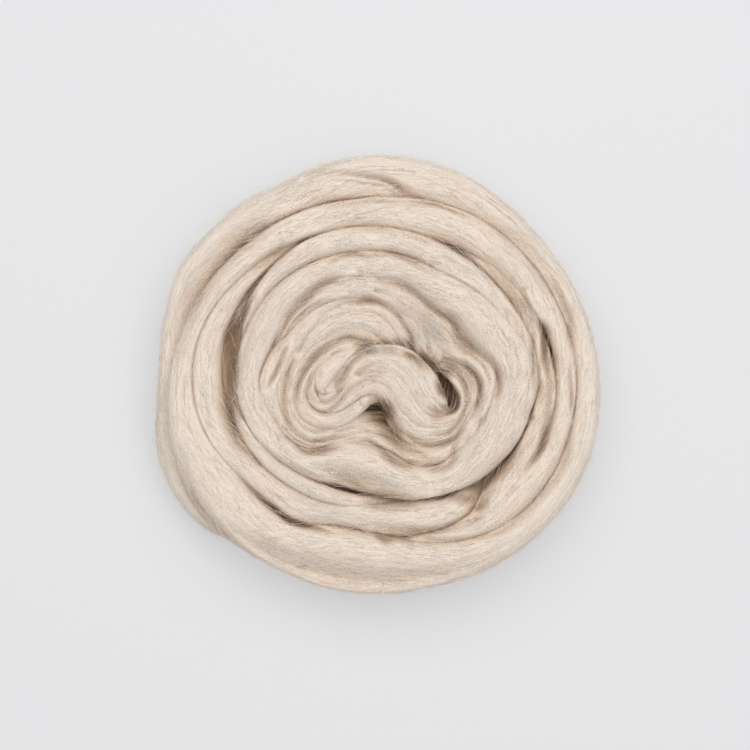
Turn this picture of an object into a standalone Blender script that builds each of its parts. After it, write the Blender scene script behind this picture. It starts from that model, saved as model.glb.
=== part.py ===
"""Wool roving wound into a flat round nest with an S-folded centre, as one closed solid.

Metres, +Z up, resting on z = 0. The tables are in millimetres and degrees. Angles run
anticlockwise from +X seen from above; the strand is wound clockwise inwards.
"""
import math

import bpy
import numpy as np

MM = 0.001
SPOKES = 104           # sections round the nest
RINGS = 36             # rings from the rim to the middle, on the top
HEART = 1.6            # radius of the innermost ring
FLOOR_Z = 24.5         # height of the gaps between turns
SIDE_POWER = 2.3       # roundness of a turn's back, 2 is an ellipse
SOFTNESS = 1.3         # how far neighbouring turns blend where they meet
EASING = 1.6           # reach over which the top's heights are averaged
SOFTENING = 2          # times each height is mixed with those beside it

# The outer wall. flat: radius of the flat underside. low and high: the bulge of the bottom
# turn and of the top turn. waist: the groove between them. z columns are heights.
WALL_COLUMNS = ("angle", "flat", "low", "low_z", "waist", "waist_z", "high", "high_z")
WALL = (
    (0, 66.0, 78.0, 10.0, 76.5, 19.0, 80.0, 27.0),
    (20, 65.5, 77.0, 10.5, 74.5, 19.5, 77.5, 27.5),
    (45, 64.0, 75.5, 11.0, 73.5, 20.0, 76.7, 28.0),
    (70, 65.0, 77.5, 10.5, 74.5, 19.5, 77.6, 28.0),
    (90, 66.0, 78.5, 10.0, 76.0, 19.0, 78.3, 27.0),
    (120, 65.0, 77.0, 9.5, 75.5, 18.0, 78.5, 26.0),
    (140, 65.5, 78.0, 9.5, 76.5, 18.0, 80.0, 25.5),
    (150, 66.0, 79.0, 9.5, 77.5, 17.5, 82.0, 24.5),
    (162, 67.0, 80.5, 9.5, 78.0, 16.5, 80.5, 22.5),
    (180, 68.0, 79.5, 9.0, 77.8, 15.5, 79.5, 20.0),
    (194, 70.0, 81.5, 8.5, 80.5, 13.0, 82.2, 17.0),
    (208, 73.0, 86.5, 9.5, 86.0, 12.0, 84.5, 15.0),
    (218, 71.0, 85.0, 9.5, 83.5, 13.5, 82.5, 18.0),
    (228, 67.0, 79.5, 9.5, 77.0, 17.0, 79.8, 24.0),
    (245, 65.0, 77.5, 10.0, 76.0, 18.5, 79.4, 26.0),
    (270, 66.0, 77.5, 10.0, 76.5, 19.0, 79.5, 26.0),
    (300, 67.0, 80.0, 10.5, 78.0, 19.0, 81.5, 26.5),
    (330, 68.0, 81.0, 10.5, 79.0, 19.0, 82.5, 27.0),
)

# The turns that show on top. inner and outer: the edges of the turn at that angle.
# crest: height of its back. rise: how far its back stands above its edges. An angle past
# 360 or under 0 goes on round the nest, and a turn's ends sink under its neighbours.
TURN_COLUMNS = ("angle", "inner", "outer", "crest", "rise")
TURNS = {
    "outer turn": (
        (228, 72.0, 80.0, 24.0, 6.0),
        (215, 73.5, 86.0, 25.0, 10.0),
        (200, 70.5, 84.6, 27.0, 11.0),
        (185, 72.5, 80.6, 30.0, 11.0),
        (165, 70.0, 80.3, 33.0, 12.0),
        (150, 68.0, 82.0, 34.5, 11.0),
        (130, 65.0, 79.0, 36.0, 10.0),
        (110, 63.0, 78.5, 38.0, 10.0),
        (90, 62.7, 78.5, 39.0, 10.0),
        (65, 65.0, 77.6, 39.0, 9.0),
        (45, 67.0, 76.9, 39.0, 9.0),
        (20, 69.0, 77.8, 39.0, 9.0),
        (0, 71.0, 79.9, 39.0, 9.0),
        (-25, 72.8, 82.5, 39.0, 9.5),
        (-45, 72.3, 82.3, 39.0, 9.5),
        (-60, 69.0, 81.5, 39.0, 10.0),
        (-75, 63.5, 80.5, 39.0, 11.0),
        (-90, 59.0, 79.6, 39.5, 12.0),
        (-105, 57.5, 79.5, 39.5, 12.0),
        (-120, 62.5, 79.5, 39.5, 11.5),
        (-132, 62.0, 80.0, 39.5, 12.0),
        (-145, 62.8, 79.8, 39.5, 12.0),
        (-160, 66.0, 78.0, 39.5, 11.0),
        (-175, 67.3, 75.5, 39.5, 10.0),
        (-195, 65.0, 71.8, 39.5, 9.0),
        (-215, 59.5, 67.7, 40.0, 9.0),
        (-240, 55.5, 64.3, 40.5, 9.0),
        (-265, 52.2, 62.8, 41.0, 9.0),
        (-290, 51.5, 64.4, 40.5, 9.0),
        (-310, 56.0, 66.2, 40.0, 9.0),
        (-335, 58.5, 68.5, 39.0, 9.0),
        (-355, 64.0, 71.0, 39.0, 8.0),
        (-375, 65.0, 72.1, 39.0, 8.0),
        (-395, 62.0, 72.6, 39.0, 9.0),
        (-412, 60.5, 71.5, 38.5, 9.0),
        (-425, 61.3, 67.5, 37.0, 9.0),
        (-438, 60.0, 62.5, 32.0, 5.0),
    ),
    "left turn": (
        (-55, 56.0, 60.0, 33.0, 5.0),
        (-62, 51.0, 61.5, 37.5, 8.0),
        (-80, 46.8, 60.2, 38.0, 9.0),
        (-92, 46.0, 58.5, 38.5, 9.0),
        (-105, 50.0, 57.3, 38.0, 9.0),
        (-120, 51.0, 62.5, 38.0, 10.0),
        (-135, 52.6, 62.2, 38.0, 11.0),
        (-155, 55.3, 65.0, 38.5, 11.0),
        (-175, 57.0, 67.3, 38.5, 11.0),
        (-195, 56.5, 65.0, 39.0, 10.0),
        (-212, 54.3, 61.5, 39.0, 9.0),
        (-228, 53.5, 57.5, 38.0, 8.0),
        (-240, 53.5, 55.6, 34.0, 5.0),
    ),
    "right turn": (
        (-46, 57.0, 61.0, 33.0, 6.0),
        (-35, 57.0, 63.5, 37.0, 9.0),
        (-15, 57.2, 64.3, 37.0, 10.0),
        (0, 57.5, 61.5, 37.0, 9.0),
        (15, 54.6, 61.0, 37.5, 8.0),
        (32, 53.3, 58.5, 38.0, 7.0),
        (48, 52.0, 56.0, 36.0, 6.0),
        (58, 52.0, 55.0, 32.0, 5.0),
    ),
    "inner left turn": (
        (250, 44.5, 49.5, 37.0, 5.0),
        (235, 45.8, 51.0, 38.5, 7.0),
        (215, 48.3, 54.2, 38.5, 9.0),
        (200, 50.5, 55.8, 37.0, 10.0),
        (188, 51.5, 56.2, 33.0, 9.0),
    ),
    "inner top turn": (
        (172, 50.0, 53.0, 33.0, 6.0),
        (160, 49.3, 54.3, 38.0, 8.0),
        (140, 47.8, 53.7, 40.0, 8.0),
        (120, 46.0, 54.0, 41.5, 8.0),
        (100, 44.0, 53.0, 42.5, 8.0),
        (80, 43.2, 52.0, 42.5, 8.0),
        (60, 42.0, 51.4, 42.5, 7.5),
        (42, 44.8, 51.9, 42.0, 7.0),
        (25, 48.0, 53.8, 41.0, 7.0),
        (12, 51.5, 55.0, 38.0, 5.0),
    ),
    "high turn": (
        (0, 43.0, 57.5, 44.5, 12.0),
        (-15, 41.5, 56.8, 44.5, 12.0),
        (-30, 41.0, 56.0, 44.5, 12.0),
        (-45, 40.0, 53.6, 44.0, 12.0),
        (-60, 39.3, 50.3, 44.0, 12.0),
        (-75, 34.3, 47.6, 43.5, 12.0),
        (-90, 27.3, 44.8, 43.0, 12.0),
        (-102, 26.0, 43.5, 43.0, 12.0),
        (-112, 27.5, 43.6, 42.5, 11.0),
        (-122, 33.0, 45.4, 42.0, 10.0),
        (-135, 39.0, 47.0, 41.5, 9.0),
        (-155, 40.7, 49.5, 42.0, 9.0),
        (-175, 43.0, 50.9, 42.5, 10.0),
        (-195, 39.2, 49.9, 43.0, 10.0),
        (-215, 38.3, 47.7, 43.5, 10.0),
        (-240, 38.3, 46.0, 43.5, 10.0),
        (-255, 36.0, 44.6, 43.0, 8.0),
        (-270, 33.8, 43.4, 43.0, 8.0),
        (-285, 33.0, 43.0, 43.0, 9.0),
        (-300, 31.3, 42.4, 43.5, 10.0),
        (-315, 31.2, 44.6, 44.0, 11.0),
        (-330, 33.3, 48.8, 44.5, 12.0),
        (-345, 36.5, 53.5, 44.5, 12.0),
        (-360, 43.0, 57.5, 44.5, 12.0),
    ),
}

# The folded middle. x, y: points along each strand; width and crest: its size there.
FOLD_COLUMNS = ("x", "y", "width", "crest", "rise")
FOLDS = {
    "right bend": (
        (24.0, 13.0, 8.0, 36.0, 5.0),
        (32.0, 8.0, 8.0, 38.0, 6.0),
        (38.5, 1.5, 8.0, 39.0, 7.0),
        (39.5, -6.0, 8.0, 39.0, 7.0),
        (36.0, -14.0, 7.0, 38.0, 6.0),
        (31.0, -23.0, 6.0, 37.0, 5.0),
        (22.0, -29.5, 7.0, 36.5, 5.0),
        (10.0, -29.0, 7.0, 35.0, 5.0),
        (2.0, -23.0, 6.0, 32.0, 5.0),
    ),
    "bow": (
        (-18.0, -3.0, 7.0, 39.0, 8.0),
        (-20.0, -7.5, 7.0, 38.5, 8.0),
        (-15.5, -10.5, 8.0, 38.5, 8.0),
        (-10.5, -5.0, 10.0, 40.0, 9.0),
        (-4.0, 0.8, 12.5, 42.0, 10.0),
        (3.5, 1.5, 13.5, 42.5, 11.0),
        (10.0, -3.5, 14.0, 42.0, 11.0),
        (14.5, -11.0, 13.5, 41.0, 10.0),
        (20.0, -18.5, 9.0, 39.5, 9.0),
        (27.0, -18.0, 8.0, 39.0, 9.0),
        (31.3, -11.0, 8.0, 38.5, 9.0),
        (31.0, -3.0, 7.5, 38.0, 8.0),
        (26.5, 2.5, 6.0, 36.0, 6.0),
    ),
    "curl": (
        (-3.0, 10.0, 4.0, 33.0, 5.0),
        (-9.0, 6.5, 6.0, 37.5, 7.0),
        (-15.0, 3.0, 7.0, 39.5, 8.0),
        (-19.5, -1.5, 7.0, 40.0, 8.0),
        (-21.0, -5.5, 6.0, 39.0, 8.0),
    ),
    "first loop": (
        (-4.0, 12.5, 6.0, 36.0, 5.0),
        (-13.0, 11.0, 7.5, 36.5, 6.0),
        (-21.5, 5.0, 8.0, 37.0, 6.5),
        (-27.0, -3.0, 8.0, 37.5, 7.0),
        (-27.0, -11.5, 8.0, 37.5, 7.0),
        (-20.0, -17.0, 8.0, 37.5, 7.0),
        (-11.0, -15.5, 8.0, 37.0, 7.0),
        (-4.5, -10.0, 6.0, 36.5, 7.0),
    ),
    "second loop": (
        (10.0, 13.0, 7.0, 35.0, 5.0),
        (6.0, 19.0, 8.0, 36.0, 5.0),
        (-3.0, 21.5, 10.0, 37.5, 5.0),
        (-15.0, 19.5, 10.0, 37.5, 5.0),
        (-26.0, 12.0, 9.0, 37.5, 6.0),
        (-32.5, 1.0, 8.0, 38.0, 6.0),
        (-33.5, -10.0, 8.0, 38.0, 6.0),
        (-29.0, -20.0, 7.5, 38.0, 6.0),
        (-20.0, -24.0, 7.5, 37.5, 6.0),
        (-9.0, -21.5, 7.0, 36.0, 6.0),
        (1.0, -21.0, 7.0, 31.0, 5.0),
    ),
    "third loop": (
        (19.0, 12.0, 8.0, 35.0, 5.0),
        (13.0, 21.0, 9.0, 37.0, 5.0),
        (3.0, 28.5, 9.0, 38.5, 5.0),
        (-10.0, 29.5, 9.0, 38.5, 5.0),
        (-22.0, 24.0, 9.0, 38.0, 5.0),
        (-32.5, 13.0, 8.0, 38.0, 6.0),
        (-38.0, 0.0, 7.0, 39.0, 6.0),
        (-38.5, -12.0, 7.0, 39.0, 6.0),
        (-33.0, -22.5, 6.5, 38.5, 6.0),
        (-23.0, -27.5, 6.0, 37.5, 6.0),
    ),
    "under fold": (
        (-4.0, 14.0, 8.0, 34.5, 5.0),
        (5.0, 13.0, 8.0, 34.5, 5.0),
        (13.0, 12.0, 8.0, 34.0, 5.0),
        (21.0, 8.0, 8.0, 34.0, 5.0),
    ),
}

# Deep openings in the middle: where, how long, how wide, which way they lie, how deep.
HOLE_COLUMNS = ("x", "y", "length", "width", "turned", "floor")
HOLES = (
    (25.4, -6.5, 19.0, 5.5, 118.0, 18.0),
    (0.5, -13.5, 9.0, 6.5, 130.0, 18.0),
    (14.0, 6.8, 11.0, 2.6, 142.0, 27.0),
)

ROVING_COLOUR = (0.72, 0.59, 0.46, 1.0)


def by_column(rows, columns):
    """The rows as arrays, one for each named column."""
    return dict(zip(columns, np.array(rows, dtype=float).T))


def soft_max(a, b):
    """The larger height, blended over SOFTNESS where the two are close."""
    gap = np.maximum(SOFTNESS - np.abs(a - b), 0.0) / SOFTNESS
    return np.maximum(a, b) + gap * gap * SOFTNESS * 0.25


def back(across, crest, rise):
    """Height over a turn: across is 0 along its back and 1 at its edges."""
    inside = np.clip(1.0 - np.abs(across) ** SIDE_POWER, 0.0, 1.0)
    round_top = crest - rise * (1.0 - inside ** (1.0 / SIDE_POWER))
    below = crest - rise - 9.0 * (np.abs(across) - 1.0) / 0.35
    return np.where(np.abs(across) <= 1.0, round_top, np.maximum(below, FLOOR_Z))


def turn_height(rows, angle, radius):
    """Height of one wound turn over points given by angle and radius."""
    turn = by_column(rows, TURN_COLUMNS)
    order = np.argsort(turn["angle"])
    turn = {name: column[order] for name, column in turn.items()}
    height = np.full(radius.shape, FLOOR_Z)
    first, last = turn["angle"][0], turn["angle"][-1]
    for lap in range(-2, 2):
        at = angle + 360.0 * lap
        inner = np.interp(at, turn["angle"], turn["inner"])
        outer = np.interp(at, turn["angle"], turn["outer"])
        crest = np.interp(at, turn["angle"], turn["crest"])
        rise = np.interp(at, turn["angle"], turn["rise"])
        across = (radius - (inner + outer) / 2.0) / ((outer - inner) / 2.0)
        here = back(across, crest, rise)
        on = (at >= first) & (at <= last)
        height = np.where(on, soft_max(height, here), height)
    return height


def fold_height(rows, x, y):
    """Height of one strand of the folded middle over the points."""
    fold = by_column(rows, FOLD_COLUMNS)
    best = np.full(x.shape, np.inf)
    height = np.full(x.shape, FLOOR_Z)
    for i in range(len(rows) - 1):
        ax, ay = fold["x"][i], fold["y"][i]
        dx, dy = fold["x"][i + 1] - ax, fold["y"][i + 1] - ay
        along = ((x - ax) * dx + (y - ay) * dy) / (dx * dx + dy * dy)
        along = np.clip(along, 0.0, 1.0)
        away = np.hypot(x - ax - along * dx, y - ay - along * dy)
        mix = {name: (1 - along) * fold[name][i] + along * fold[name][i + 1]
               for name in ("width", "crest", "rise")}
        here = back(away / (mix["width"] / 2.0), mix["crest"], mix["rise"])
        nearer = away < best
        height = np.where(nearer, here, height)
        best = np.minimum(best, away)
    return height


def carve(height, x, y):
    """The heights with the deep openings let in."""
    for px, py, length, width, turned, floor in HOLES:
        c, s = math.cos(math.radians(turned)), math.sin(math.radians(turned))
        u = ((x - px) * c + (y - py) * s) / (length / 2.0)
        v = ((y - py) * c - (x - px) * s) / (width / 2.0)
        inside = np.clip(1.25 - np.hypot(u, v), 0.0, 1.0)
        ease = inside * inside * (3.0 - 2.0 * inside)
        height = height + (np.minimum(floor, height) - height) * ease
    return height


def sharp_height(x, y):
    """Height of the upper side of the nest over each point, creases and all."""
    angle = np.degrees(np.arctan2(y, x)) % 360.0
    radius = np.hypot(x, y)
    height = np.full(x.shape, FLOOR_Z)
    for rows in TURNS.values():
        height = soft_max(height, turn_height(rows, angle, radius))
    for rows in FOLDS.values():
        height = soft_max(height, fold_height(rows, x, y))
    return carve(height, x, y)


def top_height(x, y):
    """Height of the upper side, averaged over a small round patch at each point."""
    total = sharp_height(x, y) * 2.0
    for k in range(8):
        turn = math.radians(45.0 * k)
        reach = EASING * (1.0 if k % 2 else 0.6)
        total = total + sharp_height(x + reach * math.cos(turn), y + reach * math.sin(turn))
    return total / 10.0


def wall_at(angle):
    """The wall's sizes at each angle, eased round the whole nest."""
    wall = by_column(WALL, WALL_COLUMNS)
    sizes = {}
    for name in WALL_COLUMNS[1:]:
        sizes[name] = np.interp(angle, wall["angle"], wall[name], period=360.0)
    return sizes


def ring(radius, angle, height):
    """One closed ring of points at these radii and heights."""
    turn = np.radians(angle)
    return np.stack([radius * np.cos(turn), radius * np.sin(turn), height], axis=1)


def soften(rings):
    """The top's heights mixed with those beside them, as soft wool settles."""
    z = np.stack([one[:, 2] for one in rings])
    for _ in range(SOFTENING):
        round_ways = (np.roll(z, 1, axis=1) + 2.0 * z + np.roll(z, -1, axis=1)) / 4.0
        z[1:-1] = (0.15 * round_ways[:-2] + 0.7 * round_ways[1:-1] + 0.15 * round_ways[2:])
    for one, heights in zip(rings, z):
        one[:, 2] = heights
    return rings


def between(w, bulge, groove, lift, lean, angle):
    """A ring on the round of a bulge, part of the way to the groove beside it."""
    radius = w[bulge] + (w[groove] - w[bulge]) * lean
    height = w[bulge + "_z"] + (w[groove + "_z"] - w[bulge + "_z"]) * lift
    return ring(radius, angle, height)


def nest_rings():
    """Rings from the middle of the flat underside, up the wall and over the top."""
    angle = np.arange(SPOKES) * 360.0 / SPOKES
    w = wall_at(angle)
    flat = np.zeros(SPOKES)
    rings = [ring(w["flat"] * share, angle, flat) for share in (0.35, 0.7, 1.0)]
    for lean, lift in ((0.45, 0.09), (0.82, 0.42)):
        reach = w["flat"] + (w["low"] - w["flat"]) * lean
        rings.append(ring(reach, angle, w["low_z"] * lift))
    rings.append(ring(w["low"], angle, w["low_z"]))
    rings.append(between(w, "low", "waist", 0.5, 0.22, angle))
    rings.append(ring(w["waist"], angle, w["waist_z"]))
    rings.append(between(w, "high", "waist", 0.5, 0.22, angle))
    rings.append(ring(w["high"], angle, w["high_z"]))
    top = []
    for k in range(RINGS):
        share = (k + 0.35) / RINGS
        reach = w["high"] * (1.0 - share) + HEART * share
        points = ring(reach, angle, flat)
        points[:, 2] = top_height(points[:, 0], points[:, 1])
        if k == 0:
            points[:, 2] = np.maximum(points[:, 2] * 0.5 + w["high_z"] * 0.5,
                                      w["high_z"] + 1.0)
        top.append(points)
    return rings + soften(top)


def loft(rings):
    """One closed mesh through the rings, each four points joined across the short way."""
    count = len(rings[0])
    points = [tuple(p) for one in rings for p in one]
    low_pole = len(points)
    points.append((0.0, 0.0, 0.0))
    top_pole = len(points)
    points.append((0.0, 0.0, float(np.mean(rings[-1][:, 2]))))
    faces = []
    for k in range(count):
        faces.append((low_pole, (k + 1) % count, k))
    for row in range(len(rings) - 1):
        start = row * count
        for k in range(count):
            after = (k + 1) % count
            a, b = start + k, start + after
            c, d = start + count + after, start + count + k
            if math.dist(points[a], points[c]) <= math.dist(points[b], points[d]):
                faces.append((a, b, c))
                faces.append((a, c, d))
            else:
                faces.append((a, b, d))
                faces.append((b, c, d))
    start = (len(rings) - 1) * count
    for k in range(count):
        faces.append((start + k, start + (k + 1) % count, top_pole))
    return points, faces


def wool():
    """Undyed combed wool."""
    material = bpy.data.materials.new("wool")
    material.use_nodes = True
    shader = material.node_tree.nodes["Principled BSDF"]
    shader.inputs["Base Color"].default_value = ROVING_COLOUR
    shader.inputs["Roughness"].default_value = 0.9
    return material


def main():
    for old in list(bpy.data.objects):
        bpy.data.objects.remove(old, do_unlink=True)
    points, faces = loft(nest_rings())
    points = np.array(points)
    low, high = points.min(axis=0), points.max(axis=0)
    points[:, :2] -= (low[:2] + high[:2]) / 2.0
    mesh = bpy.data.meshes.new("roving_nest")
    mesh.from_pydata([tuple(p) for p in points * MM], [], faces)
    mesh.update()
    nest = bpy.data.objects.new("roving_nest", mesh)
    nest.data.materials.append(wool())
    bpy.context.scene.collection.objects.link(nest)
    print("size mm", (high - low).round(2), "centre moved by", ((low + high) / 2).round(3))


main()
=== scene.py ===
"""Looks of the wound wool roving: the turns, the folded middle, their fibres and the stage."""
import math

import bpy
import numpy as np
from bpy.props import FloatProperty, FloatVectorProperty, IntProperty, PointerProperty
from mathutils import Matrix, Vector
from mathutils.bvhtree import BVHTree


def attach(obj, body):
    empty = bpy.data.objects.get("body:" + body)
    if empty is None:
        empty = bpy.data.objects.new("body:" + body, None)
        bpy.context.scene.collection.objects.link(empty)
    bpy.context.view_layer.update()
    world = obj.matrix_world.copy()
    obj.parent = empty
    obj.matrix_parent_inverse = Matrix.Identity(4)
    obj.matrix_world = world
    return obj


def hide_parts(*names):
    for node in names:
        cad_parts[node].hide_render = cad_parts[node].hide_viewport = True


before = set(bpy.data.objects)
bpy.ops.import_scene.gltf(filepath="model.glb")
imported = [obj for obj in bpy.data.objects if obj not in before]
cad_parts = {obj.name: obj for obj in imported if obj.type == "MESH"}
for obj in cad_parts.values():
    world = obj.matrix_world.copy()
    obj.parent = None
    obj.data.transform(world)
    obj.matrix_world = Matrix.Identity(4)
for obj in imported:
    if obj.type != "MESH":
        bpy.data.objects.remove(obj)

bl_info = {
    "name": "Wool Roving Nest",
    "version": (1, 0, 0),
    "blender": (4, 5, 0),
    "location": "3D View > Sidebar > Roving",
    "description": "Winds a length of combed wool roving into a nest with a folded middle",
    "category": "Object",
}

MM = 0.001
TO_MM = 1000.0
CENTRE = (-0.052, -0.543)   # mm, the middle of the nest's box in the tables' own measure
LIE_STEP = 0.5              # mm between the places where the lie of the wool is felt
LIE_REACH = 92.0            # mm from the middle to the last of those places
FEELER = 80.0               # mm of height from which the lie is felt
RIM_STEP = 3.0              # degrees between the places where the rim is measured
RIM_PLACES = 121            # how many of them there are, with the first one again at the end
HAIR_SHIFT, HAIR_ROUND = 7.31, 40.0     # keep the hairs apart on their map
MAP_SCALE = 0.1             # the strands' map has one unit to a centimetre

# Samples taken along a route: degrees for a turn, mm for a fold.
TURN_SAMPLE = 0.5
FOLD_SAMPLE = 0.25
UNDER_RISE = 7.0            # mm that the back of the under turn stands above its edges

# How the strands of each kind are shaped, in mm. step: between their rows. thin and thick:
# least and most height of the back over the strand's middle. under: how far the strand
# reaches below it, or None where it lies flat. power: roundness, 2 is an ellipse.
# depth: share of the lock depth.
KIND_COLUMNS = ("step", "thin", "thick", "under", "power", "depth")
KINDS = {
    "turn": (2.1, 4.5, 11.0, 9.0, 2.25, 1.0),
    "fold": (1.4, 2.2, 6.0, 7.0, 2.1, 0.62),
    "flat": (4.5, 11.0, 12.0, None, 2.3, 1.3),
}
FOLD_AROUND = 42            # points round a lock of the middle
UNDER_AROUND = 48           # points round the under turn
FOLD_TWIST = 0.05           # how far the locks of the middle wind round, either way in turn
UNDER_TWIST = 0.06
BACK_HEIGHT = 1.15          # height of a strand's back as a share of half its width
WIDEST = 1.4                # how much wider than its table row a strand may bulge
RISE_SHARES = (0.05, 0.985) # least and most of its height that a back stands above its edges
TAPER = 9.0                 # mm over which the end of a strand tapers
LEAST_TAPER = 0.0009        # square of how far it tapers
TOP_POINTS = 0.45           # how much closer together the points lie on the top, in radians
FLAT_SINK = 2.5             # mm that a flat strand reaches below the ground before it is pressed
FLAT_EASE = 2.5             # mm over which the pressing eases in
FLAT_LOW = 1.2              # mm above the ground where a flat strand starts to be pressed

# Locks of every strand. broad: width and length in mm, share of the lock depth. creases:
# width, length, share and sharpness. swells: width, length and share.
BROAD_LOCK = (9.0, 34.0, 0.55)
LOCK_CREASES = ((5.0, 36.0, 0.60, 0.32), (2.6, 22.0, 0.16, 0.40), (1.5, 10.0, 0.06, 0.50))
LOCK_SWELLS = ((2.4, 10.0, 0.04), (1.2, 5.0, 0.02))
SLIM_WIDTH = 9.0            # mm of width below which the locks grow shallower
NOISE_GAIN = 1.9            # brings the blended noise back to a spread of about one

CREASE_SPREAD = 3.0         # half widths from its line at which a crease has run out
PRESS_FROM = 14.0           # mm of height where the creases start to press the wool
PRESS_OVER = 8.0            # mm over which they come to press it fully
# Painted shade: the strands are painted darker the deeper they lie below the filled-in surface or a
# crease, on the leaning sides of SLOPES, and where hidden wool inside the nest shows through a gap.
LEAN_SHADE = 0.6            # how much a leaning side counts as lying deep
SEEN_DEPTH = 2.0            # mm below the topmost wool that still shows from above
INSIDE = 66.0               # mm from the middle within which hidden wool lies in shade
INSIDE_Z = 18.0             # mm of height above which it does
DEEPEST = 13.0              # mm of depth past which nothing grows darker
CREASE_FULL = 12.0          # mm of depth that the Crease attribute calls one
CLOSING = 10                # grid steps by which grooves are filled in

# The coats of fine fibres. whose: 0 outer, 1 inner, 2 middle. share: of the fibre count.
# short and long: length in mm. steps: pieces to a fibre. askew: how far locks of fibres lie
# askew to their strand, in radians.
COAT_COLUMNS = ("whose", "share", "short", "long", "steps", "askew", "seed")
COATS = {
    "outer_fibres": (0, 1.55, 6.0, 17.0, 4, 0.26, 10),
    "short_fibres": (0, 1.6, 3.0, 9.0, 3, 0.26, 15),
    "inner_fibres": (1, 1.5, 5.0, 14.0, 4, 0.16, 20),
    "middle_fibres": (2, 1.75, 3.0, 10.0, 4, 0.05, 30),
}
WILD = 0.10                 # share of the fibres that lie further askew and higher
WILD_LEAN, TAME_LEAN = 0.30, 0.08                   # radians that a fibre strays from its lock
WILD_LIFT, TAME_LIFT = (0.05, 0.35), (0.02, 0.16)   # mm that its middle stands up
MOST_SWAY = 0.10            # radians that a fibre sways to either side
COAT_CRIMP = 0.10           # mm of fine crimp
WIDTH_SPREAD = 0.35         # how much the widths of the coats' fibres differ
LAID_SLOPES = (0.5, 0.4)    # how steeply a combed fibre may drop and climb
FREE_SLOPES = (0.12, 1.2)   # the same for a stray hair
FREE_TURN = 0.4             # how far a stray hair curls at each step, for its lean
RIM_HOLD = 0.8              # mm inside the rim from which a fibre is held in
RIM_KEEP = 0.12             # share of the rest of its way out that it keeps
TIP_DIP = 0.25              # mm that a fibre's two ends dip into the wool

# Crease fibres are painted shade: dark fibres laid along the bottoms of the creases to draw their
# shade as thin dark lines.
CREASE_STEPS = 6            # pieces to a crease fibre
CREASE_LENGTHS = (4.0, 13.0)
CREASE_LEAST = 0.3          # mm, the depth past which a crease holds fibres
CREASE_DENSITY = 0.2        # fibres to each mm of length and mm of depth
WALL_STEPS = 4              # pieces to a fibre of the outside
WALL_LENGTHS = (8.0, 30.0)
WALL_BAND = 11.0            # mm in from the rim where they start
WALL_FACING = 0.25          # how far the wool has to face outward there
WALL_LOOSE = 0.30           # share of those with an end standing out
WALL_STAND = (0.4, 1.8)     # mm that such an end stands out
WALL_SHARES = {"outer": ("outer turn", 0.36), "under": ("under turn", 0.44)}
FUZZ_POINTS = 4             # points to a hair of the rim
FUZZ_SHARE = 0.66
FUZZ_BAND = 1.6             # mm in from the rim where they stand
FUZZ_LENGTHS = (2.5, 7.0)
FUZZ_STAND = (1.6, 0.55)    # shape and scale of how far they stand out
RIM_RADIUS = 78.0           # mm, how the hairs of the rim curve round the nest
STRAY_SHARES = (0.03, 0.02, 0.02)
STRAY_STEPS = 8
STRAY_LENGTHS = (8.0, 26.0)
STRAY_LIFT, TUFT_LIFT = (0.3, 1.6), (0.2, 0.9)
STRAY_WIDTH = 0.45          # radius as a share of the fibre width
HAIR_WIDTHS, FUZZ_WIDTHS = (0.7, 1.3), (0.7, 1.2)       # how much single hairs differ
GROUND = 0.15               # mm, the lowest that a hair lies
FIELD = 100.0               # mm, half the side of the square that patchy noise fills
LOCK_PATCH = (15.0, 13)     # rows of patches in mm and patches across the square
TONE_PATCH = (6.0, 34)
SEEDS = {"askew": 77, "crease": 35, "wall": 40, "stray": 50, "fuzz": 60}
TONE_SEED = 3               # added for the tones of a piece

# Tones of the fibres, 0 tan to 1 pale.
TONE = 0.60                 # middle tone
TONE_SPREAD = 0.115
WALL_TONE_SPREAD = 0.2
PATCH_TONE = 0.04           # how much whole patches differ
DARK_SHARE = 0.01           # share of single darker hairs
DARK_TONES = (0.24, 0.40)
# Painted light: fibres near the rim are painted paler where they catch the light, less so on the
# south side, which faces away from it.
RIM_FROM, RIM_OVER = 70.0, 7.0      # mm from the middle where the paler rim starts and fills in
RIM_TONE = 0.20             # how much paler it is
SOUTH_FROM, SOUTH_OVER = 50.0, 20.0     # the same for the south side, which is less pale
SOUTH_TONE = 0.14
# Painted shade: fibres are painted darker the deeper they lie in a crease.
SUNK_TONE = 0.07            # loss of tone for each mm down in a crease
# painted shade: tones of the crease fibres, darker the deeper the crease
CREASE_TONE, CREASE_TONE_LOSS, CREASE_TONE_SPREAD = 0.36, 0.05, 0.06
# The rim fuzz takes paler tones as painted light on the rim; stray hairs take theirs at random.
FUZZ_TONES, STRAY_TONES = (0.6, 1.0), (0.5, 0.95)

# Finish of the wool.
SHEEN_TINT = (1.0, 0.87, 0.72, 1.0)
SPECULAR = 0.10
WHITE = (1.0, 1.0, 1.0, 1.0)
STREAKS = ((1.6, 12.0), (3.0, 26.0), (5.0, 50.0))   # noise cells along and across a centimetre

# The stage. Lamps: place in metres, size of the square, power in watts.
LAMPS = {
    "window": ((0.0, 0.50, 1.58), 1.5, 16.0),
    "fill": ((0.45, -0.15, 1.8), 1.8, 7.0),
}
LAMP_AIM = (0.0, 0.0, 0.02)
CAMERA_PLACE = (-0.00103, -0.00054, 1.23)
SENSOR = 36.0               # mm
VIEW_WIDTH = 0.270          # metres across the view, at this distance from the camera
VIEW_DISTANCE = 1.195
FLOOR_SIZE = 6.0
FLOOR_GLOW = (0.97, 0.98, 1.0, 1.0)

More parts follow.
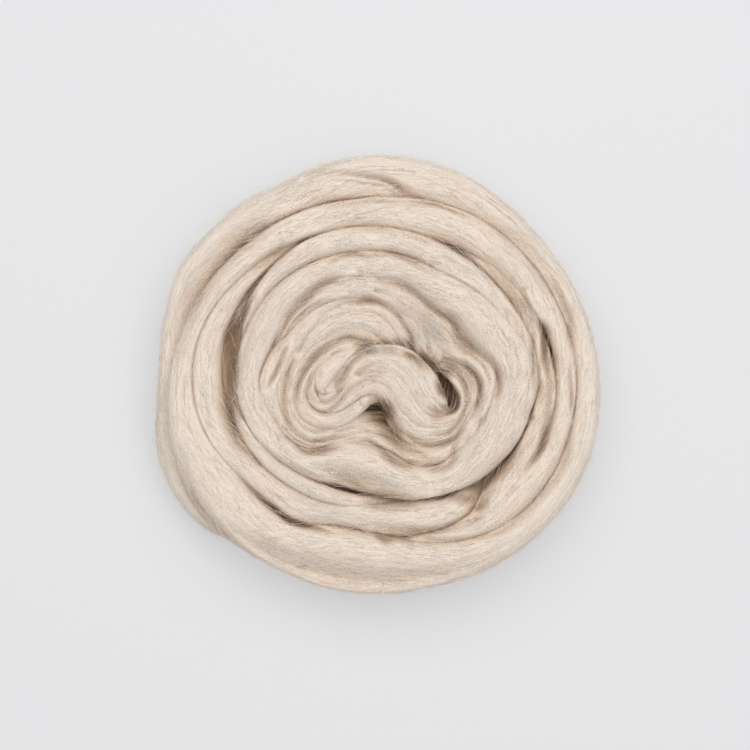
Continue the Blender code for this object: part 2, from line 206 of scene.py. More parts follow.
# The turns that show on top. inner and outer: the edges of the turn at that angle.
# crest: height of its back. rise: how far its back stands above the groove beside it.
# Angles are degrees, anticlockwise from +X, and go on past a whole turn.
TURN_COLUMNS = ("angle", "inner", "outer", "crest", "rise")
TURNS = {
    "outer turn": (
        (234, 73, 77, 20, 4), (228, 70.8, 81.2, 23, 6), (222, 70.6, 85, 24, 6.5),
        (213, 70.8, 86.8, 25, 7), (200, 69, 85.4, 27, 7), (185, 70.5, 80.4, 30, 7),
        (165, 69, 80, 33.5, 6.5), (152, 67.8, 81.4, 35, 6), (140, 66.5, 79.4, 36, 5.5),
        (128, 65, 78.2, 37, 5), (120, 64.2, 76.4, 37.5, 5), (110, 63.3, 77.2, 38, 5),
        (90, 62.7, 77.7, 39, 4.5), (65, 65, 76.9, 39, 3.5), (44, 67, 75.2, 39, 2.4),
        (20, 69, 76.9, 39, 3.5), (0, 71, 79.4, 39, 3.5), (-25, 72.8, 82.1, 39, 3),
        (-45, 72.3, 81.9, 39, 3), (-60, 69, 81.1, 39, 4), (-75, 63.5, 79.4, 39, 4.5),
        (-90, 59, 79, 39.5, 5), (-105, 57.5, 79, 39.5, 5), (-120, 61.5, 78.8, 39.5, 4.5),
        (-132, 62, 80, 39.5, 4.5), (-145, 62.8, 79.8, 39.5, 3.5), (-160, 66, 78, 39.5, 3.5),
        (-175, 67.3, 75.5, 39.5, 2.8), (-195, 65, 71.8, 39.5, 3), (-215, 59.5, 67.7, 40, 3.5),
        (-240, 55, 64.3, 40.5, 4), (-265, 52.2, 62.8, 41, 3.8), (-290, 51.5, 64.4, 40.5, 3.2),
        (-302, 53.8, 65.8, 40.2, 3), (-318, 55.8, 67, 39.5, 2.5), (-335, 58.5, 68.5, 39, 3),
        (-345, 62, 69.8, 39, 4), (-355, 63.6, 71, 39, 4), (-375, 64.8, 72.1, 39, 3.5),
        (-395, 62, 72.6, 39, 3.5), (-412, 60.5, 71.5, 38.5, 3.5), (-425, 61, 67.8, 37.5, 3.5),
        (-440, 60, 63, 34.5, 3), (-446, 60, 62, 31, 2),
    ),
    "left turn": (
        (-42, 55, 59, 26, 3), (-48, 53.5, 59.5, 31, 4), (-55, 52, 60.8, 35.5, 4.5),
        (-64, 51, 61.5, 37.5, 4.5), (-80, 46.8, 60.2, 38, 4.5), (-92, 46, 58.5, 38.5, 4.5),
        (-105, 49, 57.3, 38.5, 4.5), (-120, 51, 62, 38.5, 4), (-135, 52.6, 62.2, 38.2, 4.5),
        (-155, 55.3, 65, 38.5, 3), (-175, 56.3, 67.3, 38.5, 3.5), (-195, 56.2, 65, 39, 3.5),
        (-212, 55.2, 61.5, 39, 4.5), (-228, 53.8, 58, 38, 4), (-242, 53, 55.6, 34, 3),
    ),
    "right turn": (
        (66, 53, 55, 31, 3), (56, 52, 56, 34.5, 3.5), (46, 52, 57.5, 37, 3.5),
        (32, 53.3, 59.5, 38, 3.5), (15, 54.4, 61, 37.5, 5), (4, 56.5, 62.9, 37.5, 4.5),
        (-8, 57.2, 65.2, 37.5, 4.5), (-18, 57, 65.4, 37.5, 5), (-28, 56.4, 64.4, 37.5, 4.5),
        (-38, 55.5, 65.5, 38, 3.5), (-46, 56.5, 67, 38, 3), (-55, 60, 68.5, 37.5, 3),
        (-64, 62.5, 68, 36, 2.5), (-72, 63, 66.5, 33, 2),
    ),
    "inner left turn": (
        (284, 44.5, 47.5, 33, 2.5), (272, 44.5, 48.5, 36.5, 3), (258, 44.5, 50.5, 38, 3.5),
        (247, 44.5, 51.2, 38.5, 4), (235, 45.5, 52, 38.8, 4.5), (215, 48, 53.8, 38.5, 5.5),
        (205, 49.4, 54.6, 37.8, 5), (196, 50.4, 55, 36, 4), (187, 51, 55, 33.5, 3),
    ),
    "inner top turn": (
        (176, 49.2, 50.8, 30, 3), (165, 48.6, 51.5, 35.5, 5), (155, 48.4, 53.2, 38.5, 5),
        (140, 47.8, 53.7, 40, 4.5), (120, 46, 54, 41.2, 4), (100, 44, 53, 41.8, 3.5),
        (80, 43.2, 52, 41.8, 3.5), (60, 42, 51.6, 41.8, 3.5), (42, 44.5, 52.3, 41.8, 3.2),
        (25, 46.5, 54.2, 42, 3), (10, 50, 56.5, 40.5, 2.5), (0, 52, 57.5, 39, 2.5),
        (-12, 54, 57.5, 36, 2.5),
    ),
    "high turn": (
        (20, 41, 47.5, 38, 4), (0, 43, 57.5, 44, 7), (-15, 41.5, 56.8, 44.3, 8),
        (-30, 41, 56, 44.3, 9), (-45, 40, 53.6, 44, 9), (-60, 39.3, 50.3, 44, 8),
        (-75, 34.3, 47.6, 43.5, 8), (-90, 27.3, 44.8, 43, 8), (-102, 26, 43.5, 43, 7.5),
        (-112, 27.5, 43.6, 42.5, 7), (-122, 33, 45.4, 42, 6), (-135, 39, 47, 41.5, 5.5),
        (-155, 40.7, 50.2, 42, 6), (-175, 43, 51.4, 42.5, 7), (-195, 39.2, 50.2, 42.4, 6),
        (-215, 38.3, 48.5, 42, 4.5), (-240, 37, 46, 41.8, 3.5), (-255, 34.6, 44.6, 41.8, 2.8),
        (-270, 33, 43.4, 42, 2.8), (-285, 33, 43, 42.6, 3.5), (-300, 31.3, 42.4, 43.5, 5.5),
        (-315, 31.2, 44.6, 44, 6), (-330, 33.3, 48.8, 44.3, 6), (-345, 36.5, 53, 44.3, 6),
        (-360, 42.8, 57.3, 44, 6), (-375, 42, 56, 42.5, 6), (-390, 43, 54, 38, 5),
    ),
}

# How each turn is made: its group, the points round its strand, how far its locks wind round.
TURN_MAKES = {
    "outer turn": ("outer", 88, 0.05),
    "left turn": ("outer", 72, -0.04),
    "right turn": ("outer", 72, 0.06),
    "inner left turn": ("inner", 72, 0.05),
    "inner top turn": ("inner", 72, -0.06),
    "high turn": ("inner", 88, 0.05),
}

# The folded middle. x, y: points along each lock; width and crest: its size there.
FOLD_COLUMNS = ("x", "y", "width", "crest", "rise")
FOLDS = {
    "right bend": (
        (-37, 9.5, 3.5, 37.5, 1), (-32.5, 17.2, 4.5, 39.5, 1.5), (-26, 24.8, 6, 40.3, 1.5),
        (-17.5, 29.6, 7, 40.5, 1.5), (-8, 31.4, 7.5, 40.8, 1.2), (2, 30.8, 8, 40.8, 1.2),
        (11, 26.6, 8.5, 40.2, 1.2), (18.5, 20.2, 9, 39, 1.2), (25.5, 13.4, 9, 38.5, 1.2),
        (32.5, 7.6, 8.5, 39, 1.4), (38.3, 1.8, 8, 40, 1.8), (39.8, -5.5, 7.5, 40.5, 2),
        (36.8, -14.5, 7.5, 40, 1.6), (31.5, -23, 7, 39, 1.5), (25, -29, 6.5, 38, 1.6),
        (17, -31.4, 6.5, 37, 1.8), (9, -30, 6, 36, 1.8), (2.5, -26.4, 5.5, 35.5, 1.5),
        (-4, -24.2, 5, 36, 1.2), (-13, -25.3, 5, 36.5, 1.4), (-22.5, -26.3, 5, 37, 1.8),
        (-31, -23, 5.5, 38.5, 2), (-37, -16, 6, 39, 1.8), (-39.5, -6, 6.5, 39.5, 1.5),
        (-37, 2.5, 6.5, 39, 1.4), (-31, 11.2, 7, 38.5, 1.3), (-24, 18.7, 7, 38.3, 1.3),
        (-15.5, 23.4, 7, 38.3, 1.3), (-6, 24.8, 7, 38.3, 1.6), (1.8, 22.6, 7, 37.8, 1.8),
        (7.2, 17.6, 7, 36.8, 1.8), (9.6, 12.4, 6, 35.5, 1.8), (11.4, 7.4, 4, 31, 1.5),
    ),
    "slope locks": (
        (24.5, 0, 3, 28, 1), (22.8, 4.6, 6, 34, 1.2), (19.6, 11, 8.5, 37, 1.2),
        (15.4, 17.4, 9, 37.6, 1.2), (10, 23.2, 8.5, 37.8, 1.2), (2.5, 27.6, 7, 38, 1.2),
        (-7, 29, 5, 37.4, 1), (-16, 27, 3, 36, 1),
    ),
    "steep locks": (
        (19, 1.5, 3, 28, 1), (17, 7, 6, 33.5, 1.2), (14.6, 12.6, 7, 36, 1.2),
        (11.6, 18.2, 6.5, 36.6, 1.2), (6.8, 23.4, 5, 36.8, 1.2), (0, 26.6, 3.5, 36.2, 1),
        (-6, 27.6, 2.5, 35.5, 1),
    ),
    "second fan": (
        (7.6, 6.6, 4, 31, 1.2), (5.6, 11.8, 6, 35, 1.2), (1.4, 16.8, 7, 36.8, 1.2),
        (-6, 19.2, 7, 37.6, 1.2), (-14.5, 18.3, 7, 37.8, 1.2), (-22.5, 13.8, 6.5, 37.8, 1.2),
        (-29, 6.8, 5.5, 37.6, 1.3), (-33.4, -1.5, 4.8, 38, 1.4), (-34, -10, 4.6, 38, 1.5),
        (-31.5, -17, 4.6, 37.5, 1.5), (-25.5, -22.3, 4.6, 37, 1.5), (-17, -23.2, 4.6, 36.5, 1.3),
        (-9.5, -21.6, 5.4, 35.6, 1.2), (-3, -21.2, 6, 34, 1.2), (3.5, -23.6, 6.5, 33.2, 1.2),
        (9.5, -27.2, 5.6, 34.8, 1.4), (17.5, -28.2, 5.4, 36.2, 1.6), (25, -25.8, 5.2, 37.2, 1.6),
        (30.5, -20.5, 5, 38, 1.5), (34.8, -13, 4.6, 38.5, 1.6), (36.4, -5, 4.2, 38.5, 1.8),
        (34.2, 1.5, 4.2, 38.2, 1.8), (28.2, 5.8, 4.4, 37, 1.6), (22, 7.2, 4, 34, 1.2),
        (17, 7.6, 3, 30, 1),
    ),
    "third fan": (
        (3.4, 7, 4, 31, 1.2), (0.6, 11.2, 5.5, 34.6, 1.2), (-4.6, 14.4, 6, 36, 1.2),
        (-10.5, 15, 5.6, 36.6, 1.2), (-17, 13, 5.4, 36.8, 1.2), (-23.4, 8.6, 5, 36.8, 1.2),
        (-28.6, 2, 4.6, 36.8, 1.3), (-31.4, -5.5, 3.8, 37, 1.3), (-31.4, -12.5, 3.8, 37, 1.3),
        (-27.6, -19, 3.8, 36.5, 1.3), (-20.5, -22, 3.8, 36, 1.2), (-12.5, -20.5, 4.4, 35.5, 1.2),
        (-6, -17.6, 5, 34, 1.2), (-0.5, -16.8, 5, 29.5, 1.2), (5, -20, 5, 27.5, 1.2),
        (10, -25, 4, 30, 1.2),
    ),
    "outer curl": (
        (-1, 8.2, 3, 31, 1.2), (-6, 9.8, 4.5, 35.2, 1.5), (-12.5, 9.6, 5.8, 37, 1.6),
        (-19, 6.2, 5.8, 37.6, 1.5), (-24.6, -0.5, 5.4, 37.6, 1.5), (-27.6, -8, 5.2, 37.8, 1.5),
        (-25.6, -14.5, 5.6, 37.8, 1.6), (-20, -17.2, 6, 37.8, 1.8), (-13, -16.2, 5.6, 37.4, 1.8),
        (-7.5, -12.8, 4.8, 37.4, 1.6), (-3.5, -9.6, 4.2, 37.4, 1.4), (0.5, -9.4, 4, 37, 1.4),
        (3.8, -13.2, 4.4, 35.8, 1.4), (7, -19, 5, 35, 1.4), (11.5, -23.2, 5.2, 35.8, 1.4),
        (18.5, -25.1, 4.8, 36.8, 1.5), (26, -22.8, 4.6, 37.4, 1.6), (31.2, -17.3, 4.2, 37.8, 1.6),
        (33.8, -10.5, 3.8, 38, 1.6), (33.6, -4, 3.8, 37.6, 1.6), (30.2, 1.6, 4, 37, 1.5),
        (25.4, 4.2, 4, 35, 1.2), (20, 4.6, 3, 30, 1),
    ),
    "inner curl": (
        (-11, 7.6, 3, 36.5, 1), (-17.5, 4.4, 4, 38.2, 1.2), (-22.2, -0.6, 4, 38.4, 1.3),
        (-24.2, -6.5, 3.6, 38.4, 1.4), (-22, -11.3, 3.8, 38.4, 1.5), (-17, -12.4, 4.6, 38.4, 1.5),
        (-12.5, -9.7, 5.6, 39, 1.5), (-8, -5.6, 6.6, 40, 1.5), (-3, -3.8, 7, 40.6, 1.5),
        (1.5, -4.8, 7, 40.6, 1.5), (4.6, -8.6, 7, 40.2, 1.5), (7.6, -14, 7, 39.6, 1.6),
        (11.8, -19, 6.8, 39, 1.8), (18, -21.6, 6, 39, 1.8), (24.5, -20.4, 5, 39, 1.8),
        (29.6, -16.3, 4.4, 38.8, 1.6), (31.8, -10, 3.8, 38.6, 1.5), (31.4, -4, 3.4, 38, 1.5),
        (28.2, 0.4, 3.4, 37, 1.4), (24, 2.4, 3.4, 34.5, 1.2), (19.5, 2.4, 3, 30, 1),
    ),
    "low bow": (
        (-21.4, -6.6, 3, 38.6, 1.5), (-19.4, -9.6, 4.2, 38.9, 1.6), (-15, -8.8, 4.8, 39.2, 1.5),
        (-10.8, -4.8, 5.4, 40.4, 1.3), (-6, -0.9, 6.2, 41.6, 1.2), (-0.5, 0.6, 6.8, 42.4, 1.2),
        (4.8, -1, 7.2, 42.6, 1.2), (8.8, -5.8, 7.2, 42.2, 1.2), (11.8, -11.2, 7, 41.6, 1.3),
        (16, -16.2, 6.2, 40.6, 1.5), (22, -18, 5, 39.8, 1.8), (27.5, -15.8, 4.2, 39, 1.8),
        (29.8, -10.5, 3.8, 38.4, 1.6), (29.2, -5, 3.6, 37.6, 1.5), (26.2, -1.4, 3.4, 36, 1.5),
        (22.6, 0.2, 3, 32, 1.2),
    ),
    "high bow": (
        (-18.6, -6.6, 2.6, 38, 1.5), (-15.8, -6, 4, 38.8, 1.5), (-12.8, -2.6, 4.8, 39.9, 1.3),
        (-8.6, 1.4, 5.6, 41.4, 1.2), (-3.2, 4.2, 6.4, 42.6, 1.2), (2.4, 4.4, 7.2, 43.2, 1.2),
        (7.8, 2.2, 7.4, 43.2, 1.2), (11.8, -2.2, 7.4, 42.8, 1.2), (15, -7.4, 7.4, 42.2, 1.3),
        (18.6, -12.4, 6.8, 41.2, 1.5), (23, -15, 4.8, 39.2, 1.8), (26.8, -13.6, 3, 36, 1.8),
        (28, -9.5, 3, 34, 1.5), (27, -5, 2.5, 31, 1.2),
    ),
    "top bow": (
        (-15.5, -3.5, 2, 37, 1.5), (-11.5, 1, 3.2, 39, 1.5), (-7.2, 4.6, 4, 40.2, 1.5),
        (-2, 6.7, 4.6, 41.4, 1.5), (4, 6.9, 5.2, 42, 1.5), (9.6, 5.4, 5.6, 42.2, 1.5),
        (14, 1.4, 6.2, 42, 1.5), (17.6, -3.6, 6.6, 41.4, 1.5), (20.6, -8.4, 6.2, 40.4, 1.5),
        (23.2, -12, 5, 38.5, 1.8), (25.6, -14, 3, 34, 1.5),
    ),
    "curl tip": (
        (-1.5, 9.4, 2, 30, 1.2), (-6, 7.4, 4, 36, 1.5), (-11.5, 5, 6, 38.8, 1.6),
        (-16.2, 1.6, 6.6, 40.4, 1.8), (-19.6, -2.6, 6.6, 41, 2), (-19.8, -6.2, 5, 40, 2),
        (-17, -7.4, 3, 38.5, 1.5),
    ),
    "under fold": (
        (-10, 11, 6, 32, 2), (-2, 11.5, 9, 32.5, 2), (8, 10, 9, 32.5, 2), (16, 7, 9, 31, 2),
        (24, 4, 8, 29.5, 2), (33, 3, 6, 29, 2),
    ),
    "tip bed": (
        (-24, -8, 6, 36, 2), (-20, -6, 7, 38.4, 2), (-16.5, -4.5, 7, 38.8, 2),
        (-13, -1.5, 6, 38.4, 2), (-9, 2, 5, 37, 2),
    ),
    "under left": (
        (-10, -5, 8, 33, 2), (-20, -3, 10, 33.5, 2), (-30, 2, 10, 33.5, 2), (-33, 14, 10, 33, 2),
        (-22, 26, 10, 33, 2),
    ),
}

# Creases pressed along the wool. Round ones go by angle and distance from the middle,
# the others by points. width: half the crease. depth: how far it is pressed in; less than
# nothing where the wool swells up and closes the groove below.
# Their depth also sets painted shade: the wool and its fibres are painted darker along them, and
# dark crease fibres are laid in them.
ROUND_COLUMNS = ("angle", "away", "width", "depth")
CREASE_COLUMNS = ("x", "y", "width", "depth")
ROUND_CREASES = {
    "outer groove": (
        (242, 80.2, 1.6, -1), (228, 81, 1.8, 2.6), (214, 80.1, 1.9, 3.4), (200, 76.4, 2.6, 0.3),
        (183, 73.6, 2.3, -0.2), (171, 72.4, 2.7, 1.7), (160, 70.4, 3.2, 2.6), (147, 68.2, 3.5, 1.4),
        (132, 66.2, 3.1, 1.5), (118, 65.9, 2.5, -1.7), (103, 61.6, 1.7, 1.2), (92, 61.5, 1.1, 1.6),
        (80, 61.6, 2.1, 1.3), (72, 63.4, 0.9, 2.3), (64, 63.7, 0.9, 2.1), (57, 64.6, 2.3, 0.4),
        (42, 69.8, 3.4, 2), (30, 70.2, 2.5, 1.1), (22, 70.9, 1.3, 2.5), (15, 71.4, 1.7, 2.4),
        (6, 69.3, 1.9, 0.3), (-3, 69.3, 0.9, 1.6), (-8, 70.2, 0.9, 2.1), (-14, 71.2, 0.9, 0.2),
        (-25, 74.7, 1.8, 2), (-32, 74.6, 1.6, 1.8), (-40, 73.6, 1.4, 1.2), (-47, 72.8, 1.4, 1.4),
        (-53, 72.2, 1.2, 2), (-60, 69, 0.9, 1), (-66, 66.2, 1.1, 1.3), (-74, 62.7, 1.8, 1.6),
    ),
    "split at the top": (
        (74, 63, 0.9, 1.8), (78, 64.4, 1.1, 1.5), (82, 65.9, 1.6, 2.3), (86, 68.3, 1.2, 3.5),
        (90, 69.5, 1.5, 2.7), (97, 71.6, 1.4, 1.5), (105, 74.1, 1.3, 0.8), (113, 75.6, 1.2, -0.6),
    ),
    "second split": (
        (82, 63.8, 1.5, 0.5), (88, 67, 1, 1.4), (95, 68.6, 1, 1), (105, 71, 1, -0.1),
    ),
    "middle groove": (
        (304, 63.2, 2, 2.4), (290, 60.8, 1.4, 2), (278, 57.6, 2.1, 2.1), (266, 55.3, 1.8, 0.8),
        (256, 59.7, 0.9, 0.6), (248, 60.6, 0.9, 3.2), (240, 62.2, 0.9, 6.9), (232, 61.7, 0.9, 5.7),
        (226, 62.3, 0.9, 2.6), (217, 62.8, 1.2, 0.2), (207, 64.6, 1.8, -1.8), (197, 66.2, 2, -2.6),
        (185, 66.4, 2, -1.8), (172, 65.8, 2.5, -1.8), (160, 63.1, 1.4, -0.9), (148, 60, 1.8, 0.9),
        (138, 57.2, 1.8, 1.9), (130, 56, 2, 1.6), (122, 56.2, 2.1, -2.4), (112, 54.6, 2, -2.5),
    ),
    "low seam": (
        (228, 76.8, 1.6, 0.4), (238, 76.4, 2.2, 0.8), (250, 75.8, 2.8, 1.4), (262, 75.5, 3, 1.7),
        (275, 75.8, 2.8, 1.4), (290, 76.8, 2, 0.4),
    ),
    "low split": (
        (268, 55.8, 1.1, 0.3), (272, 60.5, 1.2, 3), (276, 59.5, 1.8, 1.6), (281, 63.1, 1.4, 1.2),
    ),
    "right pocket": (
        (27, 60.8, 1.2, -2.3), (19, 60.8, 1.3, -2.5), (14, 61.8, 1.5, 2.8), (8, 60.4, 1, 6),
        (4, 60.3, 1.5, 3.8), (-2, 61.6, 1, 1.9), (-10, 62.4, 1.2, 1.6), (-18, 63.8, 1.7, 2),
        (-25, 65, 0.9, 5.2), (-31, 64.2, 0.9, 2), (-38, 64, 1, -2),
    ),
    "beside the right pocket": (
        (10, 63.4, 1.7, 0.3), (4, 63.7, 2.3, 0.9), (-3, 65.6, 1.8, -1.9), (-12, 63.7, 1.9, 0),
    ),
    "top pocket": (
        (122, 54.7, 2, -2.5), (108, 53.9, 2.2, -0.9), (94, 51.7, 1.7, 1.4), (80, 50.9, 1.3, 1),
        (71, 50.3, 2, 1.4), (64, 52.9, 1.8, 0.8), (56, 51.9, 2.2, 0.2), (49, 53.3, 1.2, -0.7),
        (40, 53.4, 1.4, -0.2), (28, 55.8, 1.9, 0.4), (16, 57, 1.6, 0.6), (6, 56, 0.9, 3.7),
        (-4, 56.1, 1.4, 0.9), (-14, 57.5, 1.8, -2.5),
    ),
    "left valley": (
        (218, 54.1, 1, 2), (206, 56.4, 1.2, 2.1), (194, 54.7, 1.6, 1.9), (178, 52.1, 2.1, 5.2),
        (166, 54.8, 2, 6.1), (156, 52.4, 0.9, 4.2), (147, 53.3, 1.6, 0.4), (138, 53.4, 1.7, -0.7),
    ),
    "high right groove": (
        (84, 42.8, 1.4, 2), (70, 41.3, 1.7, 2.5), (60, 41.5, 2.7, -0.8), (47, 44.5, 1.7, -2.3),
        (32, 48.5, 1.8, 0.2), (20, 52.8, 1.8, 1.8), (8, 54, 1.6, -0.4),
    ),
    "low right shade": (
        (-20, 56.1, 2.3, -2.5), (-28, 56.6, 2.2, -2.5), (-36, 56, 2.1, 0.1), (-44, 54, 2.2, 0.3),
        (-52, 52.9, 2.2, -0.9), (-60, 50.1, 2.6, -2.3), (-70, 48.5, 2.5, -2.3),
        (-80, 45.8, 1.6, 1.9), (-87, 44.9, 1.7, 2.9), (-94, 43.8, 1.7, 1.8), (-105, 41.4, 2.4, 2.1),
        (-116, 43.2, 2.1, 0.7), (-128, 45, 1.2, 1.5), (-140, 46.5, 1.9, -0.8),
        (-160, 52, 1.3, -2.5),
    ),
    "low pocket": (
        (-62, 57.6, 1.2, 0.5), (-57, 59.2, 1.6, 0.4), (-53, 61, 1.6, 4.8), (-49, 59.3, 1.4, 2),
        (-44, 59.9, 1, 0),
    ),
    "arc at the top left": (
        (105, 36.6, 1.3, -2.4), (112, 36.3, 1.7, 0.2), (120, 36.8, 1.5, 2.7), (128, 37.1, 1.5, 3.6),
        (136, 36.8, 1.6, 4.3), (146, 37.3, 1.4, 4.1), (158, 37.4, 1, 2.9), (172, 38.8, 1.9, 0.6),
        (185, 43.2, 1.3, -0.8), (198, 43.8, 1, 0.4),
    ),
    "upper arc": (
        (118, 42.6, 1, 0.6), (112, 43, 0.9, 1.6), (103, 43.5, 0.9, 2.2), (94, 41.4, 1.6, 1.5),
        (84, 42.7, 1.2, 1.2), (72, 41.9, 1.5, 1.2), (66, 42.3, 1.9, -1.4),
    ),
}
CREASES = {
    "mouth of the low pocket": (
        (22.5, -42.8, 1.5, 1.3), (27.5, -44.4, 1.9, 2.3), (32, -46, 2, 2.4), (36, -46.7, 1.7, 1.5),
        (39, -45, 1.4, 0.5),
    ),
    "edge below the middle": (
        (-33.3, -22.7, 2, 1.6), (-30.1, -25.7, 0.9, 3), (-26.1, -28.5, 1.1, 5.3),
        (-20.5, -28.4, 1.5, 5.1), (-15.3, -27, 1.5, 1.8), (-9, -26, 1.1, -0.5), (-4, -25, 1, 1.8),
        (0.7, -27.6, 0.9, 3.7), (4.7, -30.9, 1.8, 5.1), (10, -33.4, 1.4, 3.7),
        (15.5, -32.8, 1.4, 0.8), (20.6, -34.7, 1.9, 2.6), (26.7, -31.9, 1.5, 2.9),
        (27.7, -25.8, 1.3, 1.7),
    ),
    "edge at the top right": (
        (-0.2, 32.7, 1.3, 0.9), (6.8, 31.3, 1.1, 2.7), (13.8, 27.3, 1.4, 2.5), (20.6, 22, 1.1, 3.4),
        (26.8, 18.5, 2, 3.3), (29.6, 12.6, 1.8, 3.5), (34.9, 8, 1.6, 3), (40.5, 3.8, 1.1, 2.3),
        (43.2, -1, 0.9, 2.8), (43.5, -5.5, 0.9, 3.6), (42.3, -9.9, 0.9, 0.8),
    ),
    "second arc": (
        (-12, 27.6, 1, -2.5), (-16.9, 25.8, 1.5, -0.4), (-22.5, 23.9, 1.3, 2),
        (-27.9, 20.3, 1.3, 3.1), (-32.6, 14.3, 1.1, 2.6), (-36.5, 7, 1.2, 0.7),
    ),
    "line over the fan": (
        (12, 8, 0.9, 4.5), (12, 12.5, 0.9, 3.3), (9.6, 16.3, 0.9, 2.7), (7.5, 19.6, 0.9, 2.9),
        (4.3, 22.3, 0.9, 2.8), (0.8, 24.7, 1, 3.2), (-3.5, 25.7, 1.4, 4.1), (-7.7, 25, 1.4, 2.4),
        (-12.5, 24.4, 1, 1.2), (-19, 20.5, 1, 1), (-24.5, 14, 1, 0.9), (-28.5, 7.1, 1, 2.1),
    ),
    "curl, outside": (
        (-1.8, 8.2, 0.9, 5.2), (-5.7, 10, 1.9, 1.6), (-9.5, 12.1, 1.3, 2), (-15.6, 10.2, 1.3, 2.9),
        (-20.9, 6.7, 1.5, 4.1), (-24.3, 3, 1.3, 4), (-27.1, -1.5, 0.9, 3.4), (-29.1, -6.5, 0.9, 3),
        (-29.1, -11.8, 1.1, 0.5), (-27.8, -18.3, 0.9, 0.3), (-22.4, -21.4, 0.9, 1.1),
        (-16, -20.2, 0.9, 0.3), (-10.4, -18.2, 1.1, -0.7), (-6.6, -13, 1.6, -0.9),
    ),
    "curl, middle": (
        (-13, 8.4, 0.9, 0.7), (-19, 5.3, 1, 1.1), (-23.4, 0.9, 1.2, 1.5), (-24.7, -4.1, 0.9, 2.6),
        (-25.6, -8.6, 1.2, 1.5), (-23.6, -12.6, 0.9, 1.1), (-19.2, -14.7, 0.9, 2.3),
        (-14.9, -12, 1.4, 2.4), (-11, -7.5, 1.3, 1.9), (-5.7, -4.2, 0.9, 0.9),
    ),
    "curl, inside": (
        (-20.9, -0.3, 1, 0.5), (-23.3, -4, 0.9, -0.7), (-24.2, -9.1, 1.7, 1.5),
        (-19.4, -10.9, 1.2, 1.9), (-16.2, -9.5, 1.3, 2.4), (-13.2, -5.4, 1.1, 3),
    ),
    "crevice behind the tip": (
        (-18, -6.2, 1, 0), (-14.7, -4.3, 2.1, 1.8), (-12.2, -0.5, 1.4, 3.1), (-9.3, 3.6, 0.9, 3.6),
        (-5.8, 6.7, 1.4, 4.7), (-1.7, 7.6, 1.2, 5.8),
    ),
    "left loop, outside": (
        (-30, 5, 0.9, 1.7), (-32.6, -0.7, 1.2, 3.4), (-33.7, -6.5, 1.2, 3.3),
        (-33.8, -13.6, 1.2, 2.7), (-30.7, -21.3, 1.1, 2.8), (-25, -25.1, 0.9, 2.6),
        (-18, -24.5, 1.2, 2), (-11.5, -22.2, 1, -0.2),
    ),
    "left loop, outermost": (
        (-33.5, 8, 0.9, 1.9), (-36.3, 0.5, 0.9, 3.2), (-39.6, -6.5, 1, 0.7), (-38.2, -14.5, 1, 0.2),
        (-32.6, -21.5, 1.5, 1.9), (-26.5, -26.1, 1.3, 2.7), (-19, -26.7, 1.3, 0.5),
    ),
    "upper edge of the hump": (
        (-5.8, 6.1, 1.1, 1.6), (-1, 7.6, 1.3, 2.4), (4, 8, 1.8, 2.9), (8.2, 7.1, 1.9, 1.9),
        (12.5, 5.2, 1.5, 5.2), (17, 3, 2.8, 3.4), (19.5, 0.7, 3.2, -0.7),
    ),
    "right hole": (
        (22.4, 3, 2.5, -1.8), (22, -1.8, 1.7, 0), (23.9, -6.3, 1.9, 9.9), (27.6, -9.2, 1.4, 17.2),
        (27.9, -12.9, 0.9, 9.9), (25.1, -14.8, 1, 2.2),
    ),
    "lower hole": (
        (-4.3, -10.2, 1.6, -2.3), (-0.8, -11.4, 1.6, 3.4), (1.9, -13, 2.4, 12.2),
        (4.4, -16.6, 2.2, 4.2), (6.1, -20.4, 2.5, 2), (6.7, -26.5, 2.3, 0.7), (12, -28.4, 1.7, 0.5),
        (17, -30.2, 1.3, 1.2),
    ),
    "right loop, inside": (
        (9.6, -21.7, 1.7, -0.4), (14.8, -26, 0.9, 1.9), (21, -26.2, 1.1, 3.1), (27.5, -24, 1, 3.7),
        (31.3, -17.9, 0.9, 1.7), (34.6, -11.6, 1.5, 1.5),
    ),
    "right loop, middle": (
        (19, -22.9, 1.3, 0.6), (24.5, -22, 1, 2.3), (29.7, -17.1, 0.9, 3), (32, -10.5, 1.2, 2.9),
        (31.2, -4.6, 0.9, 3.5), (28.1, -0.4, 0.9, 2.1), (24.3, 1.9, 1.8, 1.7),
    ),
    "right loop, outside": (
        (33.5, -15.5, 1.7, 2.3), (36.4, -9.5, 0.9, 4.5), (36.4, -3.6, 0.9, 5.1),
        (32.9, 1.5, 0.9, 2.5), (28.7, 5.2, 1.5, -2), (23.6, 6, 0.9, -1.4),
    ),
    "right loop, outermost": (
        (37.5, -15.5, 1, -2.5), (40, -8, 1, -0.7), (39.2, -1, 1, 1), (35.4, 5, 0.9, 1.2),
        (29.6, 9.1, 1.1, 1.4), (25.9, 14.4, 1.2, 1.2),
    ),
    "slope lines": (
        (18.4, 7.3, 1.1, 1.5), (17.8, 12, 1, 1.2), (15.2, 17, 1, -0.7), (11.2, 22.1, 1.1, -0.2),
        (5.8, 26.7, 1.3, 0.7), (-0.9, 29.2, 0.9, 1.5),
    ),
    "bow line": (
        (-7, -1, 0.9, 1.6), (-1.5, 2.4, 1, 0.5), (4, 1.8, 1, 0), (8.6, -2.4, 1, -0.3),
        (12.3, -7.8, 1.1, -0.1), (16.5, -12.6, 1.3, 0.5), (20.8, -15.6, 1.8, 0.9),
    ),
}

